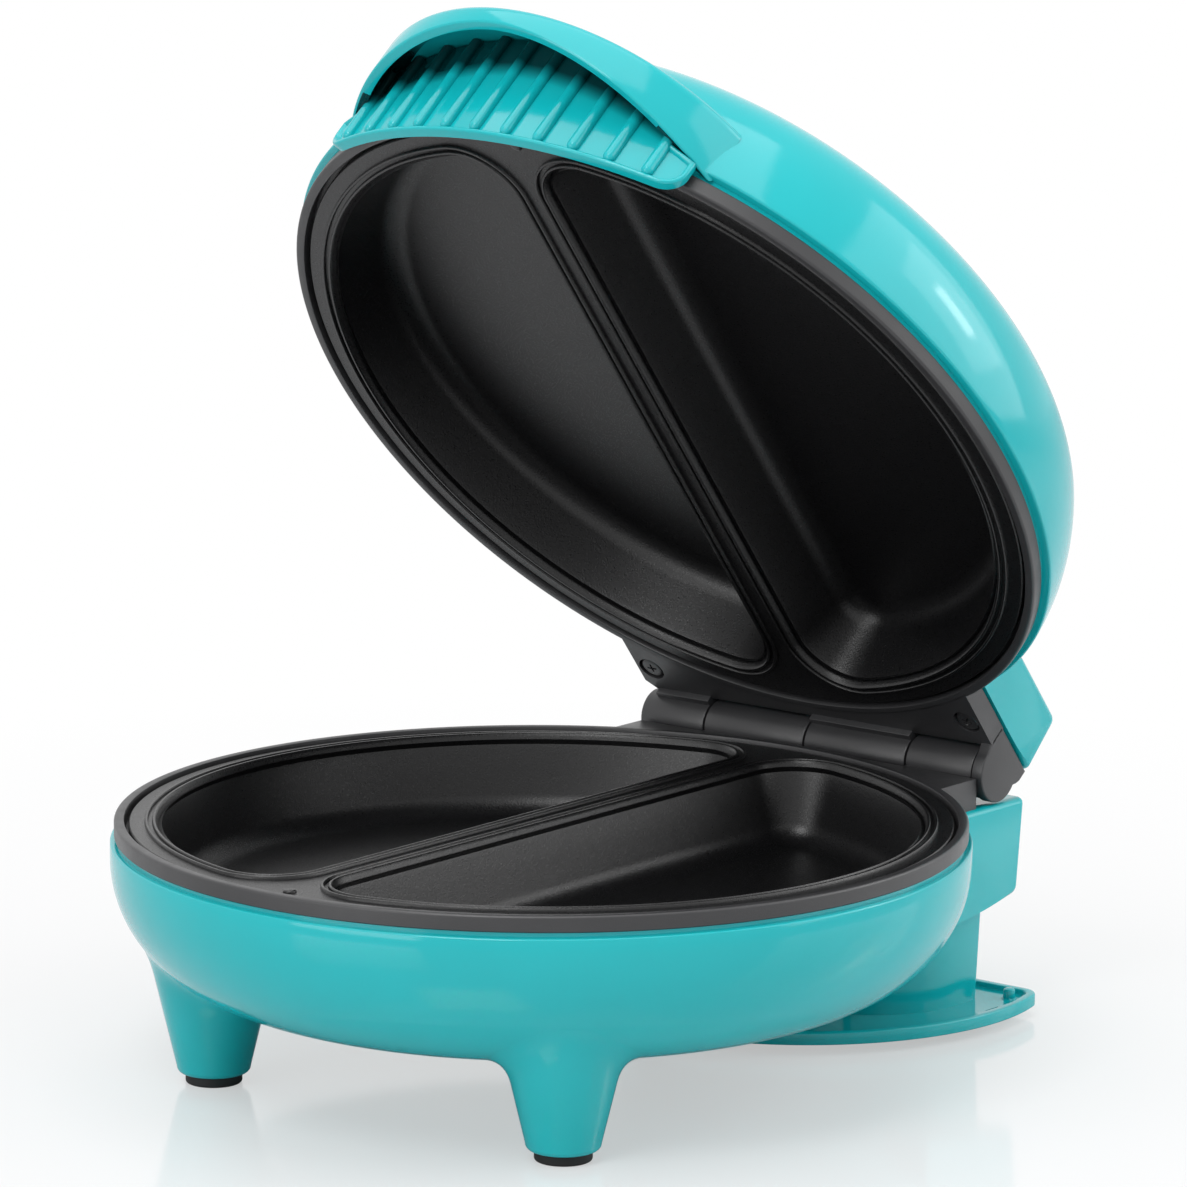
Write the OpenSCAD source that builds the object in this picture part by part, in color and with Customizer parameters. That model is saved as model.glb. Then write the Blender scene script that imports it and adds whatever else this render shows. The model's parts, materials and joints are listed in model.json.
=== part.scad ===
// Electric omelette maker: a round base and a hinged lid, each with a two-pocket cooking plate.
// Everything is drawn about the bowl's own axis, the lid as if closed, and then set in place.

/* [Body] */
// Outer radius of the black rings that meet when the lid is closed
ring_r = 102; // [100:0.5:104]
// How far the lid stands out past the rings
shell_proud = 1.7; // [1.3:0.1:2.5]
// How much narrower the bowl is than the lid
bowl_less = 0.7; // [0.3:0.1:0.9]
// Height of the lower ring's top face above the table
parting_z = 63.2; // [62:0.2:70]
// Gap between the two rings when the lid is closed
parting_gap = 1; // [0.6:0.1:1.6]
// Visible height of each ring
band_h = 3.9; // [3.4:0.1:4.6]
// Height of the dark step between a ring and its shell
step_h = 1.2; // [0.8:0.1:1.4]
// Wall of the moulded shells
wall = 2.6; // [2.2:0.1:2.9]
// Angle of the lid in the stored pose, from closed
open_angle = 51.5; // [20:0.5:70]

/* [Base bowl] */
// Height of the bowl's flat underside
floor_z = 22; // [20:0.5:23]
// Width of the curved corner between the side and the underside
corner_w = 34; // [30:0.5:36]
// Straight part of the bowl's side below the rim
side_h = 4.2; // [3:0.2:6]

/* [Legs and feet] */
// Distance of each front leg from the middle plane
leg_x = 53.8; // [48:0.2:57]
// Distance of the front legs behind the rings' foremost point
leg_in = 44.5; // [43:0.5:50]
// Radius of a leg at its foot
leg_r = 8.9; // [8.2:0.1:10]
// Radius of a leg just under the bowl
leg_top_r = 12.4; // [11.5:0.1:13.5]
// Thickness of the rubber feet
foot_h = 2.5; // [2:0.1:3]
// Radius of the rubber feet
foot_r = 7.2; // [6.5:0.1:7.8]
// Radius of the pegs of the feet
peg_r = 2; // [1.6:0.1:2.4]
// Distance of the rear feet from the middle plane
rear_foot_x = 40; // [38:0.5:41]

/* [Cord wrap] */
// Radius of the cord-wrap plate
wrap_r = 63; // [60:0.5:65]
// Distance of the plate's centre in front of the blocks' rear face
wrap_in = 22.5; // [21.5:0.1:24]
// Thickness of the plate's floor
wrap_t = 1.8; // [1.5:0.1:2.4]
// Height of the plate's raised rim above its floor
wrap_rim_h = 1.4; // [1:0.1:2]
// Width of the plate's raised rim
wrap_rim_w = 2.4; // [2:0.1:3]
// Radius of the posts that stop the cord at the plate's corners
stop_r = 1.5; // [1.2:0.1:1.8]
// Height of the posts above the plate's floor
stop_h = 2.6; // [1.8:0.1:3]
// Half width of the column that the cord winds round
column_x = 49.5; // [47:0.5:50]
// Length of the column from front to rear
column_d = 36; // [35:0.5:38]
// Distance of the column's rear face in front of the blocks' rear face
column_in = 11.2; // [11:0.1:12]
// Radius of the cord bush's bore
cord_bore_r = 3.4; // [2.8:0.1:3.6]
// Height of the cord bush above the table
bush_z = 15; // [14:0.5:16]

/* [Hinge] */
// Distance of the hinge axis behind the rings
hinge_out = 10.15; // [9.9:0.05:10.6]
// Radius of the hinge knuckles
knuckle_r = 6.8; // [6.2:0.1:6.9]
// Radius of the hinge pin
pin_r = 2; // [1.6:0.1:2.4]
// Radial clearance of the pin in its knuckles
pin_clear = 0.08; // [0.04:0.01:0.1]
// Half width of the hinge across the end arms
hinge_half = 53.7; // [53:0.1:53.9]
// Left end of the base's long knuckle
knuckle_x0 = -33.5; // [-36:0.5:-32]
// Length of each of the two middle knuckles
knuckle_len = 31.6; // [28:0.2:33]
// Thickness of an end arm
arm_t = 3.5; // [3:0.1:4]
// Gap between neighbouring knuckles
knuckle_gap = 0.4; // [0.2:0.05:0.5]
// Thickness of the lid's hinge flange
flange_t = 5.8; // [5.6:0.1:6.2]
// Half width of the blocks at the rear of the base and the lid
block_x = 54; // [54:0.5:57]
// Distance of the blocks' rear face behind the hinge axis
block_out = 11.65; // [11:0.05:12]
// How far the lid block's rear face stands in front of the base block's
lid_block_in = 2.2; // [1.8:0.1:3]
// Radius of the blocks' upright rear corners
block_corner = 2.5; // [2:0.5:4]
// Height of the lid block above the rings' meeting face
lid_block_h = 23; // [21:0.5:24]

/* [Cooking plates] */
// Width of the rim between a pocket's lip and the outside of the rings
rim_w = 10; // [9.5:0.5:13]
// Half width of the divider between the pockets
divider_x = 4.6; // [4.4:0.1:5.5]
// Radius of the pockets' corners, seen from above
pocket_corner = 13; // [12.8:0.1:15]
// Depth of the pockets below the lips
pocket_d = 20; // [17:0.5:20.5]
// How far the pocket walls lean in from lip to floor
pocket_lean = 5.2; // [4:0.1:6]
// Radius between wall and floor in the pockets
pocket_fillet = 7; // [5:0.5:7]
// Thickness of the cast plates
plate_t = 2.5; // [2.2:0.1:2.7]
// Thickness of a plate's outer flange
flange_plate_t = 3; // [2.6:0.1:3.4]
// Height of the two lips round each pocket
lip_h = 0.8; // [0.6:0.1:1]
// Width of each lip
lip_w = 0.9; // [0.7:0.05:0.95]

/* [Lid] */
// Radius of the curve of the lid's side wall
lid_side_r = 50; // [46:1:54]
// Radius of the lid's shoulder
lid_shoulder_r = 23.5; // [22:0.5:25]
// Radius of the lid's slightly domed top
lid_crown_r = 900; // [700:50:1200]

/* [Hood and grip] */
// Half width of the hood where it leaves the lid
hood_half = 53.6; // [51:0.2:55]
// Reach of the hood past the lid's side
hood_out = 18.3; // [16:0.1:19.5]
// Height of the hood's arched edge at its middle
arch_h = 14; // [12.5:0.5:15]
// Height of the hood's arched edge at its ends
arch_end_h = 4.2; // [3.8:0.1:4.8]
// Height of the hood's front edge
hood_h = 20.4; // [18.6:0.2:21]
// Steepness of the hood's top at its front edge, in degrees
hood_slope = 32; // [29:1:34]
// How far the grip's lower lip hangs past the upper ring
apron_h = 6.7; // [6:0.1:6.8]
// Thickness of the grip panel
grip_t = 1.9; // [1.6:0.1:2.2]
// Distance between the grip's ribs
rib_pitch = 9; // [8.5:0.1:9.2]
// Number of ribs on each side of the middle one
rib_side_count = 5; // [3:1:5]
// Radius of a rib
rib_r = 1.25; // [1:0.05:1.4]

/* [Heating] */
// Distance of a heating element's loop inside the rings' outer edge
heater_in = 46; // [45:0.5:48]
// Radius of the heating element's tube
tube_r = 3.25; // [3:0.05:3.4]
// Radius of the bend where the loop turns to its terminals
elbow_r = 10; // [9:0.5:11]
// Sideways distance of the plate bosses from the middle plane
boss_x = 30; // [28:0.5:32]
// Distance of the plate bosses behind the rings' foremost point
boss_in = 36; // [35:0.5:37]
// Distance of the reflectors' edge inside the rings' outer edge
reflector_in = 15.5; // [14:0.5:18]
// Thickness of the sheet metal
sheet_t = 0.6; // [0.5:0.1:0.8]
// Radius of the long plate screws
screw_r = 2; // [1.6:0.1:2]
// Radius of the small screws
small_screw_r = 1.5; // [1.2:0.1:1.6]
// Radius of the indicator lenses
lens_r = 4; // [3.6:0.1:4.5]
// Sideways distance of the indicator lenses from the middle plane
lens_x = 12; // [10:0.5:16]
// Distance of the indicator lenses behind the rings' foremost point
lens_in = 42; // [38:1:47]

/* [Hidden] */
$fn = 64;
over = 1;
fit = 0.2;

teal = [0.18, 0.69, 0.72];
deep_teal = [0.12, 0.6, 0.63];
coating_black = [0.12, 0.12, 0.12];
ring_black = [0.22, 0.22, 0.22];
hinge_grey = [0.6, 0.6, 0.62];
rubber_black = [0.08, 0.08, 0.08];
steel = [0.75, 0.75, 0.76];

// Heights and radii of the shells
shell_r = ring_r + shell_proud;
bowl_r = shell_r - bowl_less;
rim_d = band_h + step_h;
rim_z = parting_z - rim_d;
side_z = rim_z - side_h;
floor_r = bowl_r - corner_w;
lid_z = parting_z + parting_gap;
back_y = ring_r - 22;
leg_y = ring_r - leg_in;
boss_y = ring_r - boss_in;
heater_r = ring_r - heater_in;
reflector_r = ring_r - reflector_in;
lens_y = ring_r - lens_in;
terminal_y = ring_r - 22;
fuse_x = boss_x + 2;
fuse_r = 2;
plate_head_r = 2.2;

// The ring section, from the outside in
skirt_r = bowl_r - wall - 0.5;
skirt_t = 2;
bead_r = skirt_r + fit;
bead_out = ring_r - 0.6;
bead_h = 3.6;
frame_in = skirt_r - 0.8;
plate_r = frame_in - 0.6;
pocket_r = ring_r - rim_w;
ledge_r = pocket_r + plate_t + 0.7;
ledge_d = lip_h + flange_plate_t;
ledge_t = 2.5;
skirt_d = 12.2;
plate_screw_r = (plate_r + ledge_r) / 2;
plate_seat = ledge_d + ledge_t - 0.3;

// The hinge
hinge_y = ring_r + hinge_out;
hinge_z = parting_z - 1.2;
arm_r = knuckle_r + 0.5;
block_top = hinge_z - knuckle_r - 1;
block_rear = hinge_y + block_out;
base_flange_z = parting_z - 1.4;
flange_rear = hinge_y - knuckle_r - 0.5;
corner_cut = 3.2;
crease = [knuckle_x0, knuckle_x0 + knuckle_len, knuckle_x0 + 2 * knuckle_len, hinge_half - arm_t];
flange_screw_x = hinge_half - 4.4;
flange_screw_y = flange_rear - 8.2;

// The depths of the plate, the element and the reflector below a ring's meeting face
cast_d = pocket_d + plate_t;
heater_d = cast_d + fit + tube_r;
reflector_d = heater_d + tube_r + 2.3;
clip_t = 1;
clip_tab = 10.2;
clip_angles = [20, -50];
stake_x = 7.3;
heater_end = 65;
elbow_c = (heater_r + elbow_r) * [cos(heater_end), sin(heater_end)];

// The column and the cord-wrap plate
wrap_y = block_rear - wrap_in;
wrap_top = foot_h + wrap_t;
column_rear = block_rear - column_in;
column_y = column_rear - column_d / 2;
column_boss = [26, column_d / 2 - 7];
column_corner = 3;
corner_c = 6;
stop_c = [55, block_rear - 7.7];
slit_c = [58, block_rear - 18.5];
wrap_c = [sqrt(pow(wrap_r - corner_c, 2) - pow(wrap_in - 0.5 - corner_c, 2)), wrap_in - 0.5 - corner_c];
wrap_a = atan2(wrap_c[1], wrap_c[0]);
block_floor = floor_z + 10.5;

function unit(v) = v / norm(v);

// Points on an arc about a centre
function arc(c, r, a0, a1, n) = [for (i = [0:n]) let (a = a0 + (a1 - a0) * i / n) c + r * [cos(a), sin(a)]];

// An outline of corners [x, y, radius], each rounded by an arc
function corner_points(a, b, c, n) =
    let (o = [b[0], b[1]], u = unit([a[0], a[1]] - o), v = unit([c[0], c[1]] - o),
        half = acos(u * v) / 2, m = o + unit(u + v) * b[2] / sin(half),
        p = o + u * b[2] / tan(half) - m, q = o + v * b[2] / tan(half) - m,
        a0 = atan2(p[1], p[0]))
    arc(m, b[2], a0, a0 + atan2(p[0] * q[1] - p[1] * q[0], p * q), n);
function rounded(pts, n = 5) = [for (i = [0:len(pts) - 1])
    let (k = len(pts), b = pts[i])
    each b[2] > 0 ? corner_points(pts[(i + k - 1) % k], b, pts[(i + 1) % k], n) : [[b[0], b[1]]]];

// The bowl's rounded corner, offset inwards by t
function bowl_side(t) = [for (i = [0:12]) let (a = 90 * i / 12)
    [floor_r + (corner_w - t) * sin(a), side_z - (side_z - floor_z - t) * cos(a)]];

// The lid's side, shoulder and crown as [radius, height], offset inwards by t
side_h0 = 5;
side_turn = 27;
shoulder_turn = 84;
side_c = [shell_r - lid_side_r, side_h0];
shoulder_c = side_c + (lid_side_r - lid_shoulder_r) * [cos(side_turn), sin(side_turn)];
crown_c = shoulder_c + (lid_shoulder_r - lid_crown_r) * [cos(shoulder_turn), sin(shoulder_turn)];
function dome_side(t) = concat(
    arc(side_c, lid_side_r - t, 0, side_turn, 6),
    arc(shoulder_c, lid_shoulder_r - t, side_turn + 6, shoulder_turn, 8),
    arc(crown_c, lid_crown_r - t, shoulder_turn + 1, acos(-crown_c[0] / (lid_crown_r - t)), 5));
function dome_h(r, t) = crown_c[1] + sqrt(pow(lid_crown_r - t, 2) - pow(r - crown_c[0], 2));
function dome_r(h, t) = side_c[0] + sqrt(pow(lid_side_r - t, 2) - pow(h - side_h0, 2));

// The hood is round about a point inside the lid, so that it leaves the lid at its half width
hood_front = shell_r + hood_out;
hood_wall_y = sqrt(pow(shell_r, 2) - pow(hood_half, 2));
hood_y = (pow(hood_front, 2) - pow(shell_r, 2)) / (2 * (hood_front - hood_wall_y));
hood_r = hood_front - hood_y;
hood_edge_r = 3;
hood_top_r = 111;
hood_edge_c = [hood_r - hood_edge_r, hood_h - hood_edge_r];
hood_top_c = hood_edge_c + (hood_edge_r - hood_top_r) * [sin(hood_slope), cos(hood_slope)];
function hood_side(t) = concat([[0, arch_end_h - 1], [hood_r - t, arch_end_h - 1]],
    arc(hood_edge_c, hood_edge_r - t, 0, 90 - hood_slope, 4),
    arc(hood_top_c, hood_top_r - t, 93 - hood_slope, 82, 8),
    [[0, hood_top_c[1] + hood_top_r - t]]);
function arch_at(x) = arch_h - (arch_h - arch_end_h) * pow(abs(x) / hood_half, 1.7);
grip_r = shell_r + fit;
grip_out = grip_r + grip_t;
grip_side_y = (pow(grip_out, 2) + pow(hood_y, 2) - pow(hood_r - wall - 0.3, 2)) / (2 * hood_y);
grip_side = sqrt(pow(grip_out, 2) - pow(grip_side_y, 2));
grip_peg = [25, 15.5];
grip_head_y = -sqrt(pow(dome_r(grip_peg[1] + 3.4, wall), 2) - pow(grip_peg[0] + 3.4, 2)) + 0.2;

// The blocks' side views as [distance behind the axis, height]
lid_rear = block_rear - lid_block_in;
lid_block_side = rounded([[back_y, flange_t, 0], [lid_rear, flange_t, 2.5],
    [lid_rear - 1.7, lid_block_h, 5], [back_y, lid_block_h, 0]]);
base_block_side = rounded([[back_y, block_top, 0], [back_y, floor_z + 3, 0], [ring_r - 2, floor_z + 5.6, 0],
    [block_rear - 2.6, floor_z + 8, 6], [block_rear, block_top, 3]]);

// The stored pose stands with the middle of its length over the origin
function open_y(p) = hinge_y + (p[0] - hinge_y) * cos(open_angle)
    + (lid_z + p[1] - hinge_z) * sin(open_angle);
mid_y = (max([for (p = lid_block_side) open_y(p)]) - bowl_r) / 2;

// Places of the two halves
module at_base() {
    translate([0, -mid_y, 0]) children();
}
module at_lid() {
    translate([0, hinge_y - mid_y, hinge_z]) rotate([-open_angle, 0, 0])
        translate([0, -hinge_y, lid_z - hinge_z]) children();
}
// Turns what is drawn upwards from a meeting face over, for the base
module turned_over() {
    translate([0, 0, parting_z]) mirror([0, 0, 1]) children();
}
module both_sides() {
    for (s = [0, 1]) mirror([s, 0, 0]) children();
}
module along_x(x0, x1) {
    translate([x0, 0, 0]) rotate([90, 0, 90]) linear_extrude(x1 - x0) children();
}
module along_y(y0, y1) {
    translate([0, y1, 0]) rotate([90, 0, 0]) linear_extrude(y1 - y0) children();
}
module x_rod(x0, x1, r) {
    translate([x0, 0, 0]) rotate([0, 90, 0]) cylinder(r = r, h = x1 - x0);
}
module y_rod(y0, y1, r) {
    translate([0, y0, 0]) rotate([-90, 0, 0]) cylinder(r = r, h = y1 - y0);
}

// Cross-head screw up from its head's seat at height 0
module screw(r, head_r, head_h, length) {
    difference() {
        union() {
            cylinder(r = r, h = length);
            translate([0, 0, -head_h * 0.6]) cylinder(r = head_r, h = head_h * 0.6);
            translate([0, 0, -head_h]) cylinder(r1 = head_r * 0.7, r2 = head_r, h = head_h * 0.4);
        }
        for (a = [45, 135]) rotate([0, 0, a]) translate([-head_r * 0.5, -head_r * 0.12, -head_h - over])
            cube([head_r, head_r * 0.24, over + head_h * 0.55]);
    }
}

/* Cooking plates, drawn from the meeting face at height 0 with their backs upwards */
// One pocket's outline, seen from above, offset inwards by t
pocket_c = [divider_x + pocket_corner,
    sqrt(pow(pocket_r - pocket_corner, 2) - pow(divider_x + pocket_corner, 2))];
pocket_turn = atan2(pocket_c[1], pocket_c[0]);
function pocket_outline(t) = concat(
    arc([0, 0], pocket_r - t, -pocket_turn, pocket_turn, 28),
    arc(pocket_c, pocket_corner - t, pocket_turn + 15, 180, 5),
    arc([pocket_c[0], -pocket_c[1]], pocket_corner - t, 180, 345 - pocket_turn, 5));
// The wall's lean and the radius to the floor, offset outwards by t, as [depth, offset] from depth d
lean_a = atan2(pocket_lean, pocket_d);
fillet_d = pocket_d - pocket_fillet * (1 - sin(lean_a));
fillet_c = pocket_lean * fillet_d / pocket_d + pocket_fillet * cos(lean_a);
function pocket_rings(t, d) = concat([[d, pocket_lean * max(d, 0) / pocket_d - t / cos(lean_a)]],
    d < 0 ? [[0, 0]] : [],
    [for (i = [0:4]) let (a = lean_a + (90 - lean_a) * i / 4)
        [pocket_d - pocket_fillet + (pocket_fillet + t) * sin(a), fillet_c - (pocket_fillet + t) * cos(a)]]);
module pocket_body(rings) {
    n = len(pocket_outline(0));
    m = len(rings);
    points = [for (k = rings) for (p = pocket_outline(k[1])) [p[0], p[1], k[0]]];
    walls = [for (j = [0:m - 2]) for (i = [0:n - 1]) let (a = j * n + i, b = j * n + (i + 1) % n)
        each [[a, a + n, b], [b, a + n, b + n]]];
    ends = [[for (i = [0:n - 1]) i], [for (i = [n - 1:-1:0]) (m - 1) * n + i]];
    polyhedron(points, concat(walls, ends));
}
module pocket_lip(t) {
    difference() {
        linear_extrude(ledge_d - fit) polygon(pocket_outline(-t - lip_w));
        translate([0, 0, -over]) linear_extrude(ledge_d + over) polygon(pocket_outline(-t));
    }
}
module at_stakes() {
    for (a = clip_angles, q = [-stake_x, stake_x]) rotate([0, 0, a])
        translate([heater_r + q, 0, cast_d]) children();
}
module cooking_plate() {
    difference() {
        union() {
            translate([0, 0, lip_h]) cylinder(r = plate_r, h = flange_plate_t);
            both_sides() {
                pocket_lip(0);
                pocket_lip(2 * lip_w);
                pocket_body(pocket_rings(plate_t, lip_h + 0.7));
                for (y = [-boss_y, boss_y]) translate([boss_x, y, cast_d - 1])
                    cylinder(r = 4.5, h = reflector_d - cast_d + 1);
                at_stakes() translate([0, 0, -1]) cylinder(r = 1.8, h = 2.2 + clip_t);
                at_stakes() translate([0, 0, clip_t]) cylinder(r = 2.7, h = 0.9);
            }
        }
        both_sides() {
            pocket_body(pocket_rings(0, -1));
            for (y = [-boss_y, boss_y]) translate([boss_x, y, cast_d + 0.8])
                cylinder(r = screw_r + pin_clear, h = reflector_d - cast_d);
        }
    }
}

/* Heating parts, drawn the same way up as the plates */
// The element's path as [x, y, heading], from one terminal round to the other
elbow_x = elbow_c[0] - elbow_r;
function elbow(a, s) = [s * (elbow_c[0] - elbow_r * cos(a)), elbow_c[1] - elbow_r * sin(a), s * (a - 90)];
tube_path = concat([[elbow_x, terminal_y, -90]],
    [for (i = [0:6]) elbow(heater_end * i / 6, 1)],
    [for (i = [1:39]) let (a = heater_end - (180 + 2 * heater_end) * i / 40)
        [heater_r * cos(a), heater_r * sin(a), a - 90]],
    [for (i = [6:-1:0]) elbow(heater_end * i / 6, -1)],
    [[-elbow_x, terminal_y, 90]]);
module heater() {
    n = 16;
    m = len(tube_path);
    points = [for (p = tube_path) for (i = [0:n - 1]) let (r = tube_r * cos(360 * i / n))
        [p[0] + r * sin(p[2]), p[1] - r * cos(p[2]), heater_d - tube_r * sin(360 * i / n)]];
    walls = [for (j = [0:m - 2]) for (i = [0:n - 1]) let (a = j * n + i, b = j * n + (i + 1) % n)
        each [[a, a + n, b], [b, a + n, b + n]]];
    ends = [[for (i = [0:n - 1]) i], [for (i = [n - 1:-1:0]) (m - 1) * n + i]];
    polyhedron(points, concat(walls, ends));
    for (x = [-elbow_x, elbow_x]) translate([x, terminal_y, heater_d]) {
        y_rod(-1, 3, tube_r * 0.75);
        y_rod(2, 10, 1.2);
    }
}
module heater_clips() {
    r = tube_r + 0.12;
    c = [heater_r, heater_d];
    both_sides() for (a = clip_angles) rotate([0, 0, a - 4]) difference() {
        rotate_extrude(angle = 8) polygon(concat(
            [[heater_r + clip_tab, cast_d], [heater_r + clip_tab, cast_d + clip_t]],
            [[heater_r + r + clip_t, cast_d + clip_t]], arc(c, r + clip_t, 0, 180, 10),
            [[heater_r - r - clip_t, cast_d + clip_t], [heater_r - clip_tab, cast_d + clip_t]],
            [[heater_r - clip_tab, cast_d], [heater_r - r, cast_d]],
            arc(c, r, 180, 0, 10), [[heater_r + r, cast_d]]));
        for (q = [-stake_x, stake_x]) rotate([0, 0, 4]) translate([heater_r + q, 0, cast_d - over])
            cylinder(r = 1.95, h = 4);
    }
}
module reflector() {
    difference() {
        translate([0, 0, reflector_d - 6]) cylinder(r = reflector_r, h = 6 + sheet_t);
        translate([0, 0, reflector_d - 7]) cylinder(r = reflector_r - sheet_t, h = 7);
        for (x = [-boss_x, boss_x], y = [-boss_y, boss_y]) translate([x, y, reflector_d - 1])
            cylinder(r = screw_r + fit, h = 3);
        translate([-25, terminal_y - 10, reflector_d - 7]) cube([50, 30, 7]);
    }
}
module thermal_fuse(x) {
    translate([x, 0, cast_d + fuse_r + fit]) {
        y_rod(-3 * fuse_r, 3 * fuse_r, fuse_r);
        y_rod(-10 * fuse_r, 10 * fuse_r, 0.3 * fuse_r);
        for (y = [-9, 9]) translate([-3, y - 1.5, -fuse_r - fit]) cube([6, 3, fuse_r + 1.2]);
    }
}

/* Rings, drawn the same way up as the plates */
module frame_ring() {
    rotate_extrude() polygon(concat([[frame_in, 0]], arc([ring_r - 0.6, 0.6], 0.6, -90, 0, 3),
        [[ring_r, band_h], [skirt_r, band_h], [skirt_r, skirt_d], [skirt_r - skirt_t, skirt_d],
        [skirt_r - skirt_t, ledge_d + ledge_t], [ledge_r, ledge_d + ledge_t], [ledge_r, ledge_d],
        [frame_in, ledge_d]]));
    lug = band_h + bead_h;
    for (a = [20, 160, 202, 248, 292, 338]) rotate([0, 0, a - 4]) rotate_extrude(angle = 8)
        polygon([[skirt_r - 1, lug + 0.1], [skirt_r + 0.36, lug + 0.1], [skirt_r + 0.36, lug + 0.8],
            [skirt_r - 0.1, lug + 3], [skirt_r - 1, lug + 3]]);
}

/* The base */
module bowl_body(t) {
    top = t > 0 ? parting_z : rim_z;
    rotate_extrude() polygon(concat([[0, floor_z + t]], bowl_side(t),
        t > 0 ? [[bowl_r - t, rim_z - bead_h + 1.2], [bead_r, rim_z - bead_h + 1.2], [bead_r, top]]
            : [[bowl_r, rim_z - 0.6], [bowl_r - 0.25, rim_z - 0.15], [bowl_r - 0.6, top]],
        [[0, top]]));
}
module block_plan(y1, r) {
    y0 = back_y - 10;
    polygon(rounded([[-block_x, y0, 0], [block_x, y0, 0], [block_x, y1, r], [-block_x, y1, r]]));
}
module base_block() {
    intersection() {
        along_x(-block_x, block_x) polygon(base_block_side);
        linear_extrude(parting_z) block_plan(block_rear, block_corner);
    }
}
module base_block_inner() {
    y1 = block_rear - wall;
    along_x(-block_x + wall + 0.8, block_x - wall - 0.8) polygon([[back_y + 8, block_top - wall],
        [back_y + 8, block_floor], [y1 - 3.6, block_floor], [y1 - 1.8, block_floor + 3],
        [y1 - 0.4, block_top - wall - 3], [y1 - 1.8, block_top - wall]]);
}
module column(t, z0, z1) {
    f = column_y - column_d / 2 + t;
    b = column_rear - t;
    x = column_x - t;
    translate([0, 0, z0]) linear_extrude(z1 - z0)
        polygon(rounded([[-x, f, 26 - t], [x, f, 26 - t], [x, b, column_corner - t],
            [-x, b, column_corner - t]], 8));
}
module leg(t) {
    rotate_extrude() polygon(t > 0
        ? [[0, foot_h + 4.5], [leg_r - t, foot_h + 4.5], [leg_top_r - t - 0.8, floor_z - 6],
            [leg_top_r - t, floor_z + 8], [0, floor_z + 8]]
        : [[0, foot_h], [leg_r - 0.9, foot_h], [leg_r, foot_h + 0.9], [leg_top_r - 1.2, floor_z - 9],
            [leg_top_r, floor_z - 5], [leg_top_r + 0.3, floor_z - 2], [leg_top_r + 1.2, floor_z + 3],
            [leg_top_r + 2.6, floor_z + 7], [leg_top_r + 4, floor_z + 10], [0, floor_z + 12]]);
}
module at_legs() {
    both_sides() translate([leg_x, -leg_y, 0]) children();
}
module at_posts() {
    for (x = [-boss_x, boss_x], y = [-boss_y, boss_y]) translate([x, y, 0]) children();
}
module at_column_bosses() {
    for (x = [-column_boss[0], column_boss[0]], y = [-column_boss[1], column_boss[1]])
        translate([x, column_y + y, 0]) children();
}
post_z = parting_z - reflector_d - sheet_t;

module base_housing() {
    color(teal) at_base() difference() {
        union() {
            difference() {
                union() {
                    bowl_body(0);
                    base_block();
                    at_legs() leg(0);
                    difference() {
                        column(0, wrap_top, floor_z + 12);
                        column(wall, wrap_top - over, floor_z + 13);
                    }
                    at_column_bosses() translate([0, 0, wrap_top])
                        cylinder(r = 4, h = floor_z + 9 - wrap_top);
                }
                bowl_body(wall);
                base_block_inner();
                at_legs() leg(wall);
            }
            rotate_extrude() polygon([[bead_r, rim_z - bead_h + 1.2], [bowl_r - wall + 0.2, rim_z - bead_h],
                [bead_out, rim_z - bead_h], [bead_out, parting_z - band_h], [bead_r, parting_z - band_h]]);
            at_posts() translate([0, 0, floor_z + 1]) cylinder(r = 6, h = post_z - floor_z - 1);
        }
        translate([-block_x - fit, back_y, block_top]) cube([2 * block_x + 2 * fit, 60, 20]);
        at_posts() translate([0, 0, floor_z - over]) cylinder(r = 4.3, h = over + 5);
        at_posts() cylinder(r = screw_r + fit, h = 40);
        at_legs() cylinder(r = peg_r + fit, h = foot_h + 6);
        at_column_bosses() cylinder(r = small_screw_r + pin_clear, h = 18);
        translate([0, column_rear - 9, floor_z]) cylinder(r = 3.5, h = block_floor);
        translate([0, 0, bush_z]) y_rod(column_rear - 8, column_rear + 8, cord_bore_r + 1.7);
    }
}

module foot() {
    rotate_extrude() polygon([[0, 0], [foot_r - 0.6, 0], [foot_r, 0.6], [foot_r, foot_h - 0.3],
        [foot_r - 0.3, foot_h], [peg_r, foot_h], [peg_r, foot_h + 4], [peg_r - 0.4, foot_h + 4.4],
        [0, foot_h + 4.4]]);
}
module front_feet() {
    color(rubber_black) at_base() at_legs() foot();
}
module rear_feet() {
    color(rubber_black) at_base() both_sides() translate([rear_foot_x, column_y + 4, 0]) foot();
}

function wrap_outline(t) = concat(
    arc([0, wrap_y], wrap_r - t, 180 - wrap_a, 360 + wrap_a, 44),
    arc([wrap_c[0], wrap_y + wrap_c[1]], corner_c - t, wrap_a + 12, 90, 5),
    arc([-wrap_c[0], wrap_y + wrap_c[1]], corner_c - t, 90, 168 - wrap_a, 5));
module cord_wrap_plate() {
    color(teal) at_base() {
        difference() {
            translate([0, 0, foot_h]) linear_extrude(wrap_t + wrap_rim_h) polygon(wrap_outline(0));
            translate([0, 0, wrap_top]) linear_extrude(9) polygon(wrap_outline(wrap_rim_w));
            both_sides() translate([rear_foot_x, column_y + 4, 0]) cylinder(r = peg_r + fit, h = 9);
            at_column_bosses() cylinder(r = small_screw_r + fit, h = 9);
            both_sides() translate([slit_c[0] - 0.6, slit_c[1] - 2.5, 0]) cube([1.2, 5, 9]);
        }
        both_sides() translate([stop_c[0], stop_c[1], wrap_top - 1]) {
            cylinder(r = stop_r, h = stop_h + 0.5);
            cylinder(r = stop_r - 0.5, h = stop_h + 1);
        }
    }
}
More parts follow.
